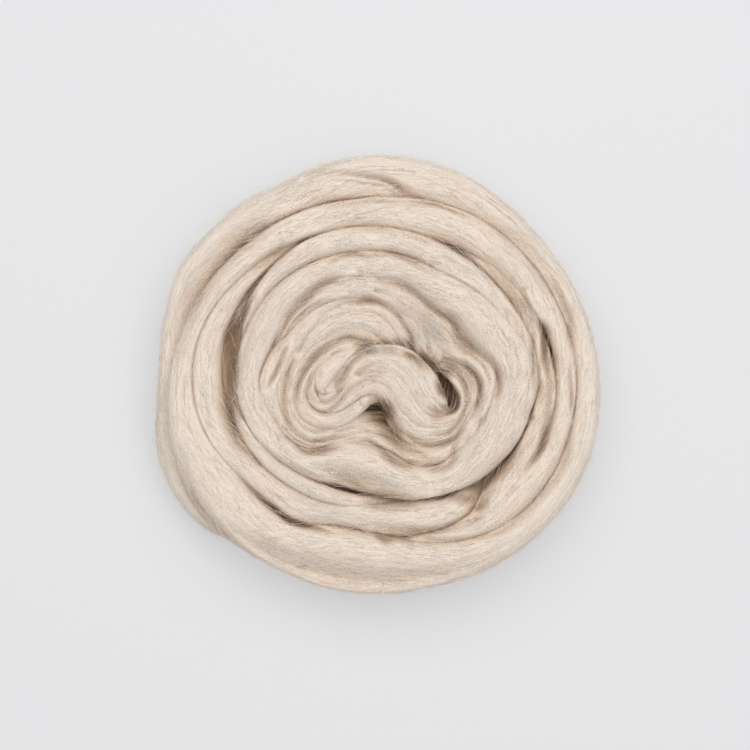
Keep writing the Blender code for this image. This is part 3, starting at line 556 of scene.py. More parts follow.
# Broad places where a turn leans or the wool lies lower: the same columns as the creases.
ROUND_SLOPES = {
    "low rim": (
        (196, 84, 6, 0.4), (215, 88, 9, 1.6), (235, 86, 9, 2), (255, 84.5, 8.5, 2.2),
        (275, 84.5, 8.5, 2.2), (295, 85.5, 8.5, 1.8), (315, 87, 7, 1), (335, 87, 6, 0.4),
    ),
    "side of the left valley": (
        (186, 57.4, 2, 0.6), (196, 57.4, 2.4, 2.2), (206, 57.6, 2.4, 2.4), (216, 57.4, 2, 1),
    ),
    "side of the outer groove": (
        (176, 76, 3, 1.2), (168, 75.4, 3.8, 4), (159, 74.6, 4.4, 4.2), (149, 72.6, 4.4, 2.6),
        (139, 70.4, 3.8, 2.8), (130, 68.8, 3, 1.2),
    ),
    "wedge below the split": (
        (84, 65.2, 2, 0.8), (93, 67.4, 2.4, 1.4), (103, 69.6, 2.6, 0.8),
    ),
    "south of the wide band": (
        (226, 76.6, 2.6, 0.8), (238, 75.8, 3.8, 3.2), (250, 74.6, 4.8, 5), (262, 74.2, 5.2, 5.8),
        (275, 74.6, 4.8, 4.8), (292, 76.4, 3.2, 1.8), (306, 77.6, 2.4, 0.5),
    ),
    "left side of the high turn": (
        (192, 49.6, 2, 0.6), (180, 49.6, 2.5, 1.8), (168, 48.8, 2.6, 2), (156, 48.2, 2.4, 1.4),
        (145, 47.6, 2, 0.6),
    ),
    "upper right lane": (
        (44, 54.6, 2.6, 0.6), (36, 55.4, 3, 1.8), (26, 56.4, 3, 1.6), (18, 58, 2.4, 0.6),
    ),
}
# Unlike the round slopes, these also paint shade: the wool on them is painted darker by LEAN_SHADE
# of their depth.
SLOPES = {
    "low side of the high turn": (
        (-22, -34, 2.6, 0.8), (-14, -36.5, 3.4, 2.8), (-6, -39, 3.6, 3.8), (2, -41.5, 3.2, 2.8),
        (10, -43.5, 2.4, 0.8),
    ),
    "between the high turn and the left turn": (
        (51.5, -22.5, 2.4, 0.4), (48.6, -28.4, 3, 2.4), (45, -33.5, 3.2, 3), (39.5, -40, 3, 1.8),
        (32, -45.5, 2.4, 0.5),
    ),
    "under the high turn": (
        (-7, -46.5, 2, 0.6), (0, -47.6, 2.8, 2.4), (8, -48, 2.6, 1.6), (15, -47.5, 2, 0.5),
    ),
    "left side of the hump": (
        (-7, -4, 2.6, 0.6), (-3.5, -1.5, 3, 2), (1, -1, 2.4, 0.8),
    ),
    "end of the hump": (
        (18.5, -14, 2, 0.5), (22, -15.4, 2.6, 1.9), (25, -17.5, 2, 0.7),
    ),
    "behind the right hole": (
        (22, 5, 2.6, 0.4), (26, 3, 3, 1.6), (30.5, 0.5, 3.4, 2.4), (34, -5, 3, 1.6),
        (34.5, -10, 2.6, 0.8),
    ),
    "over the slope": (
        (9, 23.5, 3.4, 0.8), (15, 19.5, 4, 2.4), (20, 15.5, 4, 3), (24.5, 12, 3.4, 2.4),
        (28, 9.5, 2.6, 0.8),
    ),
    "above the right loops": (
        (20, 14, 3, 0.6), (26, 12.5, 3.2, 2.2), (31.5, 8.5, 2.8, 1.8), (36, 3, 2.4, 0.6),
    ),
    "below the lower hole": (
        (-1, -15.5, 3, 0.8), (2.6, -19.5, 3.8, 2), (7, -25, 4, 2.2), (12, -28.5, 3.2, 1.2),
    ),
}

# Small tufts of loose hair: place, spread, the way they point in degrees and how far they
# fan, their length and how many there are.
TUFTS = {
    "beside the hump": (22, 9.5, 2, 115, 40, 9, 50),
    "over the slope": (18.5, 10, 2, 118, 22, 12, 36),
    "long pale hair": (42.8, 29.4, 0.25, 128, 2, 34, 6),
    "right pocket": (57.6, 15.5, 1.2, 100, 22, 8, 40),
    "below the high turn": (-14, -52, 6, 160, 24, 18, 70),
    "over the left valley": (-52, 18, 3, 70, 22, 12, 36),
    "behind the curl": (-4, 9, 1.5, 40, 30, 7, 40),
}

# The bottom layer: one long turn wound out from the middle, flat where it lies.
UNDER_COLUMNS = ("angle", "inner", "outer", "crest")
UNDER = (
    (0, 60.5, 78.2, 24.5), (-30, 62.5, 80.6, 24.5), (-60, 61.5, 80, 25), (-90, 60, 77.9, 24.5),
    (-120, 59.5, 77.2, 25), (-135, 60, 78.3, 24), (-150, 62.5, 80.5, 21.5), (-165, 61.5, 79.8, 22),
    (-180, 61, 78.6, 23.5), (-210, 60, 78.4, 24.5), (-240, 58, 76.6, 25), (-270, 58.5, 77.8, 24.5),
    (-315, 55, 74.8, 27), (-360, 51.5, 67.5, 30), (-420, 47.5, 64.5, 31.5), (-480, 42, 62, 32.5),
    (-540, 41, 61, 34), (-600, 39, 58.5, 32.5), (-660, 36.5, 54.5, 31.5), (-720, 33.5, 51, 31),
    (-780, 30, 47.5, 30), (-840, 27, 45, 28), (-900, 24, 42, 26.5), (-990, 20, 38, 25),
    (-1080, 16, 34, 24), (-1170, 12, 30, 24), (-1260, 8, 26, 24), (-1350, 4.5, 22, 23.5),
    (-1440, 1, 18.5, 23),
)


def on_curve(where, known, values):
    """Values between the rows of a table, along a smooth curve through them."""
    step = np.diff(known)
    slope = np.diff(values) / step
    lean = np.empty(len(values))
    lean[0], lean[-1] = slope[0], slope[-1]
    lean[1:-1] = (slope[:-1] * step[1:] + slope[1:] * step[:-1]) / (step[:-1] + step[1:])
    k = np.clip(np.searchsorted(known, where, side="right") - 1, 0, len(step) - 1)
    t = (where - known[k]) / step[k]
    a, b = values[k], values[k + 1]
    m, n = lean[k] * step[k], lean[k + 1] * step[k]
    return (a * (1 + 2 * t) * (1 - t) ** 2 + m * t * (1 - t) ** 2
            + b * t * t * (3 - 2 * t) + n * t * t * (t - 1))


def by_column(rows, columns):
    """The rows as arrays, one for each named column."""
    return dict(zip(columns, np.array(rows, dtype=float).T))


def summed(gaps):
    """How far along a line each of its points lies, from the gaps between them."""
    return np.concatenate([[0.0], np.cumsum(gaps)])


def turn_route(rows, columns):
    """Fine samples of a wound turn's back: x, y, width, crest and rise."""
    turn = by_column(rows, columns)
    known = turn["angle"][0] - turn["angle"]
    where = np.arange(0.0, known[-1], TURN_SAMPLE)
    angle = np.radians(turn["angle"][0] - where)
    route = {name: on_curve(where, known, turn[name]) for name in columns[1:]}
    route.setdefault("rise", np.full(len(where), UNDER_RISE))
    middle = (route["inner"] + route["outer"]) / 2.0
    route["x"], route["y"] = middle * np.cos(angle), middle * np.sin(angle)
    route["width"] = route["outer"] - route["inner"]
    return route


def fold_route(rows):
    """Fine samples of a lock in the folded middle."""
    fold = by_column(rows, FOLD_COLUMNS)
    known = summed(np.hypot(np.diff(fold["x"]), np.diff(fold["y"])))
    where = np.arange(0.0, known[-1], FOLD_SAMPLE)
    return {name: on_curve(where, known, fold[name]) for name in FOLD_COLUMNS}


def at_even_steps(route, step):
    """The route sampled again at even steps along its length, in mm."""
    along = summed(np.sqrt(np.diff(route["x"]) ** 2 + np.diff(route["y"]) ** 2
                           + np.diff(route["crest"]) ** 2))
    even = np.linspace(0.0, along[-1], max(8, int(round(along[-1] / step)) + 1))
    result = {name: np.interp(even, along, column) for name, column in route.items()}
    result["along"] = even
    return result


def spline_weights(t):
    """The four weights of a smooth blend between neighbours."""
    return ((1 - t) ** 3 / 6, (3 * t ** 3 - 6 * t ** 2 + 4) / 6,
            (-3 * t ** 3 + 3 * t ** 2 + 3 * t + 1) / 6, t ** 3 / 6)


def soft_noise(across, along, cells, seed):
    """Smooth noise that closes round a strand: across runs 0 to 1, along is in cells."""
    rng = np.random.default_rng(seed)
    rows = int(np.ceil(np.max(along))) + 6
    values = rng.standard_normal((rows, cells))
    i = np.floor(along).astype(int)
    j_real = across * cells
    j = np.floor(j_real).astype(int)
    f, g = along - i, j_real - j
    total = np.zeros(np.broadcast(across, along).shape)
    for di, wi in enumerate(spline_weights(f)):
        for dj, wj in enumerate(spline_weights(g)):
            total += wi * wj * values[(i + di) % rows, (j + dj - 1) % cells]
    return total * NOISE_GAIN


def patchy(x, y, patch, seed):
    """Smooth noise over the nest, in patches."""
    rows, cells = patch
    return soft_noise((x + FIELD) / (2.0 * FIELD), (y + FIELD) / rows, cells, seed)


def lock_relief(along, around, girth, depth, twist, seed):
    """How far each point of a strand stands in or out: long locks with creases between."""
    across = around[None, :] + twist * along[:, None] / girth
    length = along[:, None] + 0.0 * across
    width, reach, share = BROAD_LOCK
    relief = share * depth * soft_noise(across, length / reach, max(4, round(girth / width)), seed)
    for k, (width, reach, cut, edge) in enumerate(LOCK_CREASES):
        cells = max(5, round(girth / width))
        wave = soft_noise(across, length / reach, cells, seed + 11 * k + 1)
        relief = relief - cut * depth * np.exp(-(wave / edge) ** 2)
    for k, (width, reach, swell) in enumerate(LOCK_SWELLS):
        cells = max(5, round(girth / width))
        wave = soft_noise(across, length / reach, cells, seed + 71 + 7 * k)
        relief = relief + swell * depth * wave
    return relief


def strand_shape(route, kind, around, depth, twist, seed):
    """A strand laid on its route: its points, rows along and columns round it, and where
    each column and row lies in mm."""
    make = dict(zip(KIND_COLUMNS, KINDS[kind]))
    flat = make["under"] is None
    power = make["power"]
    route = at_even_steps(route, make["step"])
    tangent = np.stack([np.gradient(route["x"]), np.gradient(route["y"])], axis=1)
    tangent /= np.linalg.norm(tangent, axis=1)[:, None]
    side = np.stack([-tangent[:, 1], tangent[:, 0]], axis=1)
    half = route["width"] / 2.0
    high = np.clip(BACK_HEIGHT * half, make["thin"], make["thick"])
    share = np.clip(route["rise"] / high, *RISE_SHARES)
    reach = half / (1.0 - (1.0 - share) ** power) ** (1.0 / power)
    reach = np.clip(reach, half, half * WIDEST)
    end = np.minimum(route["along"], route["along"][-1] - route["along"])
    taper = np.sqrt(np.clip(1.0 - (1.0 - np.clip(end / TAPER, 0, 1)) ** 2, LEAST_TAPER, 1.0))
    t = np.linspace(0.0, 1.0, around + 1)
    turn = 2 * math.pi * (t + TOP_POINTS / (2 * math.pi) * np.sin(2 * math.pi * t))
    turn = -math.pi / 2 + turn
    c, s = np.cos(turn), np.sin(turn)
    sweep = np.sign(c) * np.abs(c) ** (2.0 / power)
    lift = np.sign(s) * np.abs(s) ** (2.0 / power)
    middle = route["crest"] - high
    deep = middle + FLAT_SINK if flat else np.full(len(half), make["under"])
    off = reach[:, None] * sweep[None, :] * taper[:, None]
    tall = np.where(lift[None, :] > 0, high[:, None], deep[:, None]) * lift[None, :]
    up = middle[:, None] + tall * taper[:, None]
    nx = (np.sign(c) * np.abs(c) ** (2.0 - 2.0 / power))[None, :] * high[:, None]
    nz = (np.sign(s) * np.abs(s) ** (2.0 - 2.0 / power))[None, :] * reach[:, None]
    size = np.sqrt(nx * nx + nz * nz) + 1e-9
    nx, nz = nx / size, nz / size
    girth = float(np.mean(2.0 * math.pi * np.sqrt((reach ** 2 + high ** 2) / 2.0)))
    relief = lock_relief(route["along"], t[:-1], girth, depth * make["depth"], twist, seed)
    relief = np.concatenate([relief, relief[:, :1]], axis=1)
    slim = np.clip(route["width"] / SLIM_WIDTH, 0.35, 1.0)
    relief = relief * taper[:, None] * slim[:, None]
    off = off + nx * relief
    up = up + nz * relief
    if flat:
        pressed = FLAT_LOW - FLAT_LOW * (1 - np.exp((up - FLAT_LOW) / FLAT_EASE))
        up = np.where(up < FLAT_LOW, pressed, up)
    x = route["x"][:, None] + off * side[:, 0][:, None]
    y = route["y"][:, None] + off * side[:, 1][:, None]
    points = np.stack([x - CENTRE[0], y - CENTRE[1], up], axis=2)
    for end_row in (0, -1):
        points[end_row] = points[end_row].mean(axis=0)
    return points, t * girth, route["along"]


def crease_paths(round_rows, point_rows):
    """Each of these lines as x, y, width and depth at even steps."""
    lines = [by_column(rows, CREASE_COLUMNS) for rows in point_rows.values()]
    for rows in round_rows.values():
        line = by_column(rows, ROUND_COLUMNS)
        where = np.abs(line["angle"] - line["angle"][0])
        fine = np.linspace(0.0, where[-1], int(where[-1] / 2.0) + 2)
        line = {name: on_curve(fine, where, column) for name, column in line.items()}
        angle = np.radians(line["angle"])
        line["x"], line["y"] = line["away"] * np.cos(angle), line["away"] * np.sin(angle)
        lines.append(line)
    paths = []
    for line in lines:
        known = summed(np.hypot(np.diff(line["x"]), np.diff(line["y"])))
        fine = np.arange(0.0, known[-1], LIE_STEP)
        x, y, width, depth = (on_curve(fine, known, line[name]) for name in CREASE_COLUMNS)
        paths.append((x - CENTRE[0], y - CENTRE[1], np.maximum(width, 0.6), depth))
    return paths


def lie_ticks():
    """The places of the even grid along one side, in mm."""
    return np.arange(-LIE_REACH, LIE_REACH + LIE_STEP / 2.0, LIE_STEP)


def dented(round_rows, point_rows):
    """How far down the wool is pressed along these lines, on the even grid."""
    ticks = lie_ticks()
    press = np.zeros((len(ticks), len(ticks)))
    swell = np.zeros_like(press)
    for path in crease_paths(round_rows, point_rows):
        for px, py, half, deep in zip(*path):
            far = CREASE_SPREAD * half
            a = slice(*np.searchsorted(ticks, (py - far, py + far)))
            b = slice(*np.searchsorted(ticks, (px - far, px + far)))
            away = ((ticks[b][None, :] - px) ** 2 + (ticks[a][:, None] - py) ** 2) / half ** 2
            dent = deep * np.exp(-away)
            press[a, b] = np.maximum(press[a, b], dent)
            swell[a, b] = np.minimum(swell[a, b], dent)
    return press + swell


def strand_plan(settings):
    """Every strand of the nest by group with its points and how deep it lies for the painted shade,
    and the lie of the wool they make.
    """
    press = settings.crease_strength * dented(ROUND_CREASES, CREASES)
    roll, lean = dented(ROUND_SLOPES, {}), dented({}, SLOPES)
    depth, seed = settings.lock_depth * TO_MM, settings.seed
    groups = {"outer": {}, "inner": {}, "middle": {}, "under": {}}
    for number, (name, rows) in enumerate(TURNS.items()):
        group, around, twist = TURN_MAKES[name]
        groups[group][name] = strand_shape(turn_route(rows, TURN_COLUMNS), "turn", around, depth,
                                           twist, seed + 100 * number)
    for number, (name, rows) in enumerate(FOLDS.items()):
        twist = FOLD_TWIST if number % 2 else -FOLD_TWIST
        groups["middle"][name] = strand_shape(fold_route(rows), "fold", FOLD_AROUND, depth, twist,
                                              seed + 1000 + 100 * number)
    groups["under"]["under turn"] = strand_shape(turn_route(UNDER, UNDER_COLUMNS), "flat",
                                                 UNDER_AROUND, depth, UNDER_TWIST, seed + 5000)
    pressed = press + roll + lean
    for strands in groups.values():
        for points, _, _ in strands.values():
            high = np.clip((points[..., 2] - PRESS_FROM) / PRESS_OVER, 0.0, 1.0)
            points[..., 2] -= high * felt(pressed, points[..., 0], points[..., 1])
    lie = lie_of_the_wool(groups)
    closed = closed_over(lie["height"])
    # painted shade: how deep the wool lies in a groove or crease, or on a leaning side, for
    # darkening it there
    lie["sunk"] = np.maximum(closed - lie["height"], press) + LEAN_SHADE * lean
    for strands in groups.values():
        for name, (points, around, along) in strands.items():
            x, y, z = points[..., 0], points[..., 1], points[..., 2]
            seen = z > felt(lie["height"], x, y) - SEEN_DEPTH
            inside = (np.hypot(x, y) < INSIDE) & (z > INSIDE_Z)
            deep = np.clip(felt(closed, x, y) - z, 0.0, DEEPEST)
            # painted shade: seen wool takes the depth felt above; hidden wool inside the nest is
            # darkened by how far it lies below the filled-in surface
            sunk = np.where(seen, felt(lie["sunk"], x, y), np.where(inside, deep, 0.0))
            strands[name] = (points, around, along, sunk)
    return groups, lie


def picked(objects):
    """Select these objects alone, the first of them active."""
    bpy.ops.object.select_all(action="DESELECT")
    for one in objects:
        one.select_set(True)
    bpy.context.view_layer.objects.active = objects[0]


def corner_points(mesh):
    """Which point of the mesh each corner of its faces stands on."""
    corner = np.empty(len(mesh.loops), dtype=np.int32)
    mesh.loops.foreach_get("vertex_index", corner)
    return corner


def closed_up(threshold):
    """Merge the doubled points of the active mesh, turn its faces outward and smooth it."""
    bpy.ops.object.mode_set(mode="EDIT")
    bpy.ops.mesh.select_all(action="SELECT")
    bpy.ops.mesh.remove_doubles(threshold=threshold)
    bpy.ops.mesh.normals_make_consistent(inside=False)
    bpy.ops.object.mode_set(mode="OBJECT")
    bpy.ops.object.shade_smooth()


def roll_strand(name, points, around, along, sunk):
    """A flat sliver of wool, rolled into a closed strand along its route."""
    rows, columns = points.shape[:2]
    bpy.ops.object.select_all(action="DESELECT")
    bpy.ops.mesh.primitive_grid_add(x_subdivisions=rows - 1, y_subdivisions=columns - 1,
                                    size=1.0, calc_uvs=True, location=(0, 0, 0))
    strand = bpy.context.object
    strand.name = strand.data.name = name
    mesh = strand.data
    flat = np.empty(len(mesh.vertices) * 3)
    mesh.vertices.foreach_get("co", flat)
    flat = flat.reshape(-1, 3)
    i = np.rint((flat[:, 0] + 0.5) * (rows - 1)).astype(int)
    j = np.rint((flat[:, 1] + 0.5) * (columns - 1)).astype(int)
    mesh.vertices.foreach_set("co", (points[i, j] * MM).ravel())
    corner = corner_points(mesh)
    places = np.stack([along[i[corner]], around[j[corner]]], axis=1) * MAP_SCALE
    mesh.uv_layers[0].name = "Strand"
    mesh.uv_layers[0].uv.foreach_set("vector", places.ravel())
    # painted shade: the Crease attribute holds how deep the wool lies, and the wool material paints
    # it darker there
    crease = mesh.attributes.new("Crease", "FLOAT", "POINT")
    crease.data.foreach_set("value", np.clip(sunk / CREASE_FULL, 0.0, 1.0)[i, j])
    mesh.update()
    closed_up(1e-7)
    return strand


def laid_in(piece, material):
    """The piece takes its wool and its place in the nest."""
    piece.data.materials.clear()
    piece.data.materials.append(material)
    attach(piece, "root")
    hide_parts("roving_nest")


def wind_group(context, name, group, shade=1.0, relief=0.12):
    """Wind the strands of one group into one piece of the nest, in its own copy of the wool; shade
    paints that copy darker, as painted shade.
    """
    scene = context.scene
    strands = strand_plan(scene.roving_sizes)[0][group]
    wool = wool_material("combed wool, " + name.replace("_", " "), scene.roving_colours, shade,
                         relief)
    made = [roll_strand(part, *strand) for part, strand in strands.items()]
    picked(made)
    if len(made) > 1:
        bpy.ops.object.join()
    piece = made[0]
    piece.name = piece.data.name = name
    laid_in(piece, wool)
    return {"FINISHED"}


def lie_of_the_wool(groups):
    """Height, lie and owner of the topmost wool on an even grid, felt from straight above."""
    corners, faces, lies, owners = [], [], [], []
    start = 0
    for owner, strands in enumerate(groups.values()):
        for points, _, _ in strands.values():
            rows, columns = points.shape[:2]
            i, j = np.meshgrid(np.arange(rows - 1), np.arange(columns - 1), indexing="ij")
            first = (start + i * columns + j).ravel()
            faces.append(np.stack([first, first + 1, first + columns + 1, first + columns], axis=1))
            run = points[1:, :-1] - points[:-1, :-1]
            lies.append(np.arctan2(run[..., 1], run[..., 0]).ravel())
            owners.append(np.full(len(first), owner))
            corners.append(points.reshape(-1, 3))
            start += rows * columns
    lies, owners = np.concatenate(lies), np.concatenate(owners)
    tree = BVHTree.FromPolygons(np.concatenate(corners).tolist(), np.concatenate(faces).tolist())
    ticks = lie_ticks()
    x, y = np.meshgrid(ticks, ticks)
    height = np.zeros(x.shape)
    angle = np.arctan2(x, -y)
    whose = np.full(x.shape, -1)
    down = Vector((0.0, 0.0, -1.0))
    for a, b in np.ndindex(x.shape):
        place, _, face, _ = tree.ray_cast((x[a, b], y[a, b], FEELER), down)
        if face is not None:
            height[a, b] = place.z
            angle[a, b] = lies[face]
            whose[a, b] = owners[face]
    away, turned = np.hypot(x, y), np.degrees(np.arctan2(y, x)) % 360.0
    found = whose >= 0
    rim = []
    for k in range(RIM_PLACES):
        beside = np.abs((turned - k * RIM_STEP + 180.0) % 360.0 - 180.0) < 2.0
        rim.append(np.max(away[found & beside]))
    return {"height": height, "cos": blurred(np.cos(2.0 * angle), 3), "rim": np.array(rim),
            "sin": blurred(np.sin(2.0 * angle), 3), "whose": whose, "ticks": ticks, "tree": tree}


def closed_over(height):
    """The height again with every groove narrower than about a centimetre filled in."""
    for pick in (np.maximum, np.minimum):
        for step in range(CLOSING):
            edged = np.pad(height, 1, mode="edge")
            height = pick.reduce([height, edged[:-2, 1:-1], edged[2:, 1:-1], edged[1:-1, :-2],
                                  edged[1:-1, 2:]])
            if step % 2:
                height = pick.reduce([height, edged[:-2, :-2], edged[2:, :-2], edged[:-2, 2:],
                                      edged[2:, 2:]])
    return height


def blurred(grid, times):
    """The grid with every place mixed with its neighbours."""
    for _ in range(times):
        edged = np.pad(grid, 1, mode="edge")
        grid = (edged[1:-1, 1:-1] * 2.0 + edged[:-2, 1:-1] + edged[2:, 1:-1]
                + edged[1:-1, :-2] + edged[1:-1, 2:]) / 6.0
    return grid


def felt(grid, x, y):
    """Value of the even grid at places in mm, between its own."""
    top = len(grid) - 1.001
    a = np.clip((y + LIE_REACH) / LIE_STEP, 0.0, top)
    b = np.clip((x + LIE_REACH) / LIE_STEP, 0.0, top)
    i, j = a.astype(int), b.astype(int)
    f, g = a - i, b - j
    return ((grid[i, j] * (1 - g) + grid[i, j + 1] * g) * (1 - f)
            + (grid[i + 1, j] * (1 - g) + grid[i + 1, j + 1] * g) * f)


def way_of(lie, x, y):
    """Which way the wool runs there, in radians, by one of its two ends."""
    return 0.5 * np.arctan2(felt(lie["sin"], x, y), felt(lie["cos"], x, y))


def rim_at(lie, points):
    """How far out the rim of the nest lies in the direction of these points."""
    turned = np.degrees(np.arctan2(points[..., 1], points[..., 0])) % 360.0
    return np.interp(turned, np.arange(RIM_PLACES) * RIM_STEP, lie["rim"])


def scattered(lie, whose, count, rng):
    """Places scattered evenly over the wool of one group, seen from above."""
    i, j = np.nonzero(lie["whose"] == whose)
    pick = rng.integers(0, len(i), count)
    jump = rng.uniform(-0.5, 0.5, (2, count)) * LIE_STEP
    return lie["ticks"][j[pick]] + jump[0], lie["ticks"][i[pick]] + jump[1]


def combed(lie, x, y, length, lean, sway, lift, rng, steps, crimp, angle=None, free=0.0):
    """Fibres laid on the wool from these places along its lie: a row of points for each.

    free: how far a fibre keeps its own way instead of the wool's, 0 to 1."""
    count = len(x)
    if angle is None:
        heading = np.where(rng.random(count) < 0.5, 0.0, math.pi)
        angle = way_of(lie, x, y) + heading
    phase = rng.uniform(0.0, 2.0 * math.pi, count)
    pace = length / steps
    points = np.empty((count, steps + 1, 3))
    for k in range(steps + 1):
        points[:, k, 0], points[:, k, 1] = x, y
        lay = way_of(lie, x, y)
        lay = np.where(np.cos(lay - angle) < 0.0, lay + math.pi, lay)
        turn = (lay - angle + math.pi) % (2.0 * math.pi) - math.pi
        angle = angle + (1.0 - free) * turn + free * lean * FREE_TURN
        way = angle + (1.0 - free) * lean + sway * np.sin(phase + 1.7 * k)
        x, y = x + pace * np.cos(way), y + pace * np.sin(way)
    points[..., :2] += rng.normal(0.0, crimp, (count, steps + 1, 2))
    away = np.hypot(points[..., 0], points[..., 1])
    edge = rim_at(lie, points) - RIM_HOLD
    kept = np.where(away > edge, (edge + RIM_KEEP * (away - edge)) / away, 1.0)
    points[..., :2] *= kept[..., None]
    height = felt(lie["height"], points[..., 0], points[..., 1])
    z = height.copy()
    drop, climb = LAID_SLOPES if free == 0.0 else FREE_SLOPES
    for k in range(1, steps + 1):
        z[:, k] = np.clip(height[:, k], z[:, k - 1] - drop * pace, z[:, k - 1] + climb * pace)
    t = np.linspace(0.0, 1.0, steps + 1)[None, :]
    points[..., 2] = (z + lift[:, None] * np.sin(math.pi * t) ** 0.7
                      - TIP_DIP * np.abs(2 * t - 1) ** 6)
    return points


def spun(context, name, fibres, widths, tones):
    """Fibres as one piece: each a fine tapered hair, its tone kept in the hair's own map."""
    material = fibre_material(name, context.scene.roving_colours)
    count, knots = fibres.shape[:2]
    hair = bpy.data.curves.new(name, "CURVE")
    hair.dimensions = "3D"
    taper = np.interp(np.linspace(0, 1, knots), (0.0, 0.15, 0.85, 1.0), (0.35, 1.0, 1.0, 0.35))
    places = np.ones((count, knots, 4))
    places[..., :3] = fibres * MM
    for points, width in zip(places, widths):
        spline = hair.splines.new("POLY")
        spline.points.add(knots - 1)
        spline.points.foreach_set("co", points.ravel())
        spline.points.foreach_set("radius", taper * width)
    section = bpy.data.curves.new(name + " section", "CURVE")
    edge = section.splines.new("POLY")
    edge.points.add(2)
    edge.use_cyclic_u = True
    for k in range(3):
        angle = 2.0 * math.pi * k / 3.0
        edge.points[k].co = (MM * math.cos(angle), MM * math.sin(angle), 0.0, 1.0)
    shape = bpy.data.objects.new(name + " section", section)
    bpy.context.collection.objects.link(shape)
    hair.bevel_mode = "OBJECT"
    hair.bevel_object = shape
    hair.use_fill_caps = True
    piece = bpy.data.objects.new(name, hair)
    bpy.context.collection.objects.link(piece)
    picked([piece])
    bpy.ops.object.convert(target="MESH")
    piece = bpy.context.object
    mesh = piece.data
    owner = np.concatenate([np.repeat(np.arange(count), 6), np.repeat(np.arange(count), knots * 3)])
    gaps = np.linalg.norm(np.diff(fibres, axis=1), axis=2)
    along = np.concatenate([np.zeros((count, 1)), np.cumsum(gaps, axis=1)], axis=1)
    ends = along[:, (0, 0, 0, -1, -1, -1)].ravel()
    run = np.concatenate([ends, np.repeat(along.ravel(), 3)]) * MAP_SCALE
    run = run + owner * HAIR_SHIFT % HAIR_ROUND
    corner = corner_points(mesh)
    for layer in list(mesh.uv_layers):
        mesh.uv_layers.remove(layer)
    layer = mesh.uv_layers.new(name="Strand")
    hair_map = np.stack([run[corner], tones[owner[corner]]], axis=1)
    layer.uv.foreach_set("vector", hair_map.ravel())
    closed_up(1e-8)
    bpy.data.objects.remove(shape)
    laid_in(piece, material)
    return {"FINISHED"}


def hair_radius(sizes, share=0.5):
    """Radius of a hair in mm, as a share of the fibre width."""
    return share * sizes.fibre_width * TO_MM


def fibre_tones(x, y, sunk, spread, seed, rng):
    """Tone of each fibre: mixed from hair to hair, with painted light that makes it paler at the
    rim and less so on the south side, and painted shade that makes it darker down in a crease.
    """
    patch = patchy(x, y, TONE_PATCH, seed)
    tones = TONE + spread * rng.standard_normal(len(x)) + PATCH_TONE * patch
    tones = np.where(rng.random(len(x)) < DARK_SHARE, rng.uniform(*DARK_TONES, len(x)), tones)
    # painted light at the rim, less of it on the south side, which faces away from the light
    rim = np.clip((np.hypot(x, y) - RIM_FROM) / RIM_OVER, 0.0, 1.0)
    south = np.clip(-(y + SOUTH_FROM) / SOUTH_OVER, 0.0, 1.0)
    tones = tones + rim * (RIM_TONE - SOUTH_TONE * south)
    # painted shade: darker the deeper the fibre lies in a crease
    return np.clip(tones - SUNK_TONE * np.clip(sunk, 0.0, 8.0), 0.02, 0.98)


def fibre_coat(context, name):
    """A coat of fine fibres over the wool of one group."""
    coat = dict(zip(COAT_COLUMNS, COATS[name]))
    sizes = context.scene.roving_sizes
    seed = sizes.seed + coat["seed"]
    rng = np.random.default_rng(seed)
    lie = strand_plan(sizes)[1]
    count = int(sizes.fibre_count * coat["share"])
    x, y = scattered(lie, coat["whose"], count, rng)
    length = rng.uniform(coat["short"], coat["long"], count)
    wild = rng.random(count) < WILD
    askew = coat["askew"] * patchy(x, y, LOCK_PATCH, sizes.seed + SEEDS["askew"])
    lean = askew + np.where(wild, rng.normal(0.0, WILD_LEAN, count),
                            rng.normal(0.0, TAME_LEAN, count))
    lift = np.where(wild, rng.uniform(*WILD_LIFT, count), rng.uniform(*TAME_LIFT, count))
    sway = rng.uniform(0.0, MOST_SWAY, count)
    fibres = combed(lie, x, y, length, lean, sway, lift, rng, coat["steps"], COAT_CRIMP)
    # painted shade: how deep each fibre lies on average, to darken its tone
    sunk = felt(lie["sunk"], fibres[:, 1:-1, 0], fibres[:, 1:-1, 1]).mean(axis=1)
    tones = fibre_tones(x, y, sunk, TONE_SPREAD, seed + TONE_SEED, rng)
    widths = hair_radius(sizes) * np.exp(rng.normal(0.0, WIDTH_SPREAD, count))
    return spun(context, name, fibres, widths, tones)


def crease_fibres(lie, rng):
    """Fine dark fibres lying down in the named creases as painted shade, and how deep each one
    lies.
    """
    hairs, deeps = [], []
    t = np.linspace(-0.5, 0.5, CREASE_STEPS + 1)
    for x, y, width, depth in crease_paths(ROUND_CREASES, CREASES):
        share = np.clip(depth - CREASE_LEAST, 0.0, 5.0)
        count = int(CREASE_DENSITY * LIE_STEP * share.sum())
        if count == 0:
            continue
        places = np.arange(len(x))
        way = np.arctan2(np.gradient(y), np.gradient(x))
        middle = rng.choice(len(x), count, p=share / share.sum())
        reach = rng.uniform(*CREASE_LENGTHS, count) / LIE_STEP
        k = np.clip(middle[:, None] + reach[:, None] * t, 0.0, len(x) - 1.0)
        aside = (rng.normal(0.0, 0.32, count)[:, None] + rng.normal(0.0, 0.5, count)[:, None] * t
                 + rng.normal(0.0, 0.06, (count, CREASE_STEPS + 1)))
        aside = aside * np.interp(k, places, width)
        turn = np.interp(k, places, np.unwrap(way))
        px = np.interp(k, places, x) - aside * np.sin(turn)
        py = np.interp(k, places, y) + aside * np.cos(turn)
        pz = felt(lie["height"], px, py) + rng.uniform(0.02, 0.14, count)[:, None]
        pz = pz - TIP_DIP * np.abs(2.0 * t) ** 6
        hairs.append(np.stack([px, py, pz], axis=2))
        deeps.append(np.interp(middle, places, depth))
    hairs, deeps = np.concatenate(hairs), np.concatenate(deeps)
    laid = hairs[..., 2].min(axis=1) > 4.0
    return hairs[laid], deeps[laid]


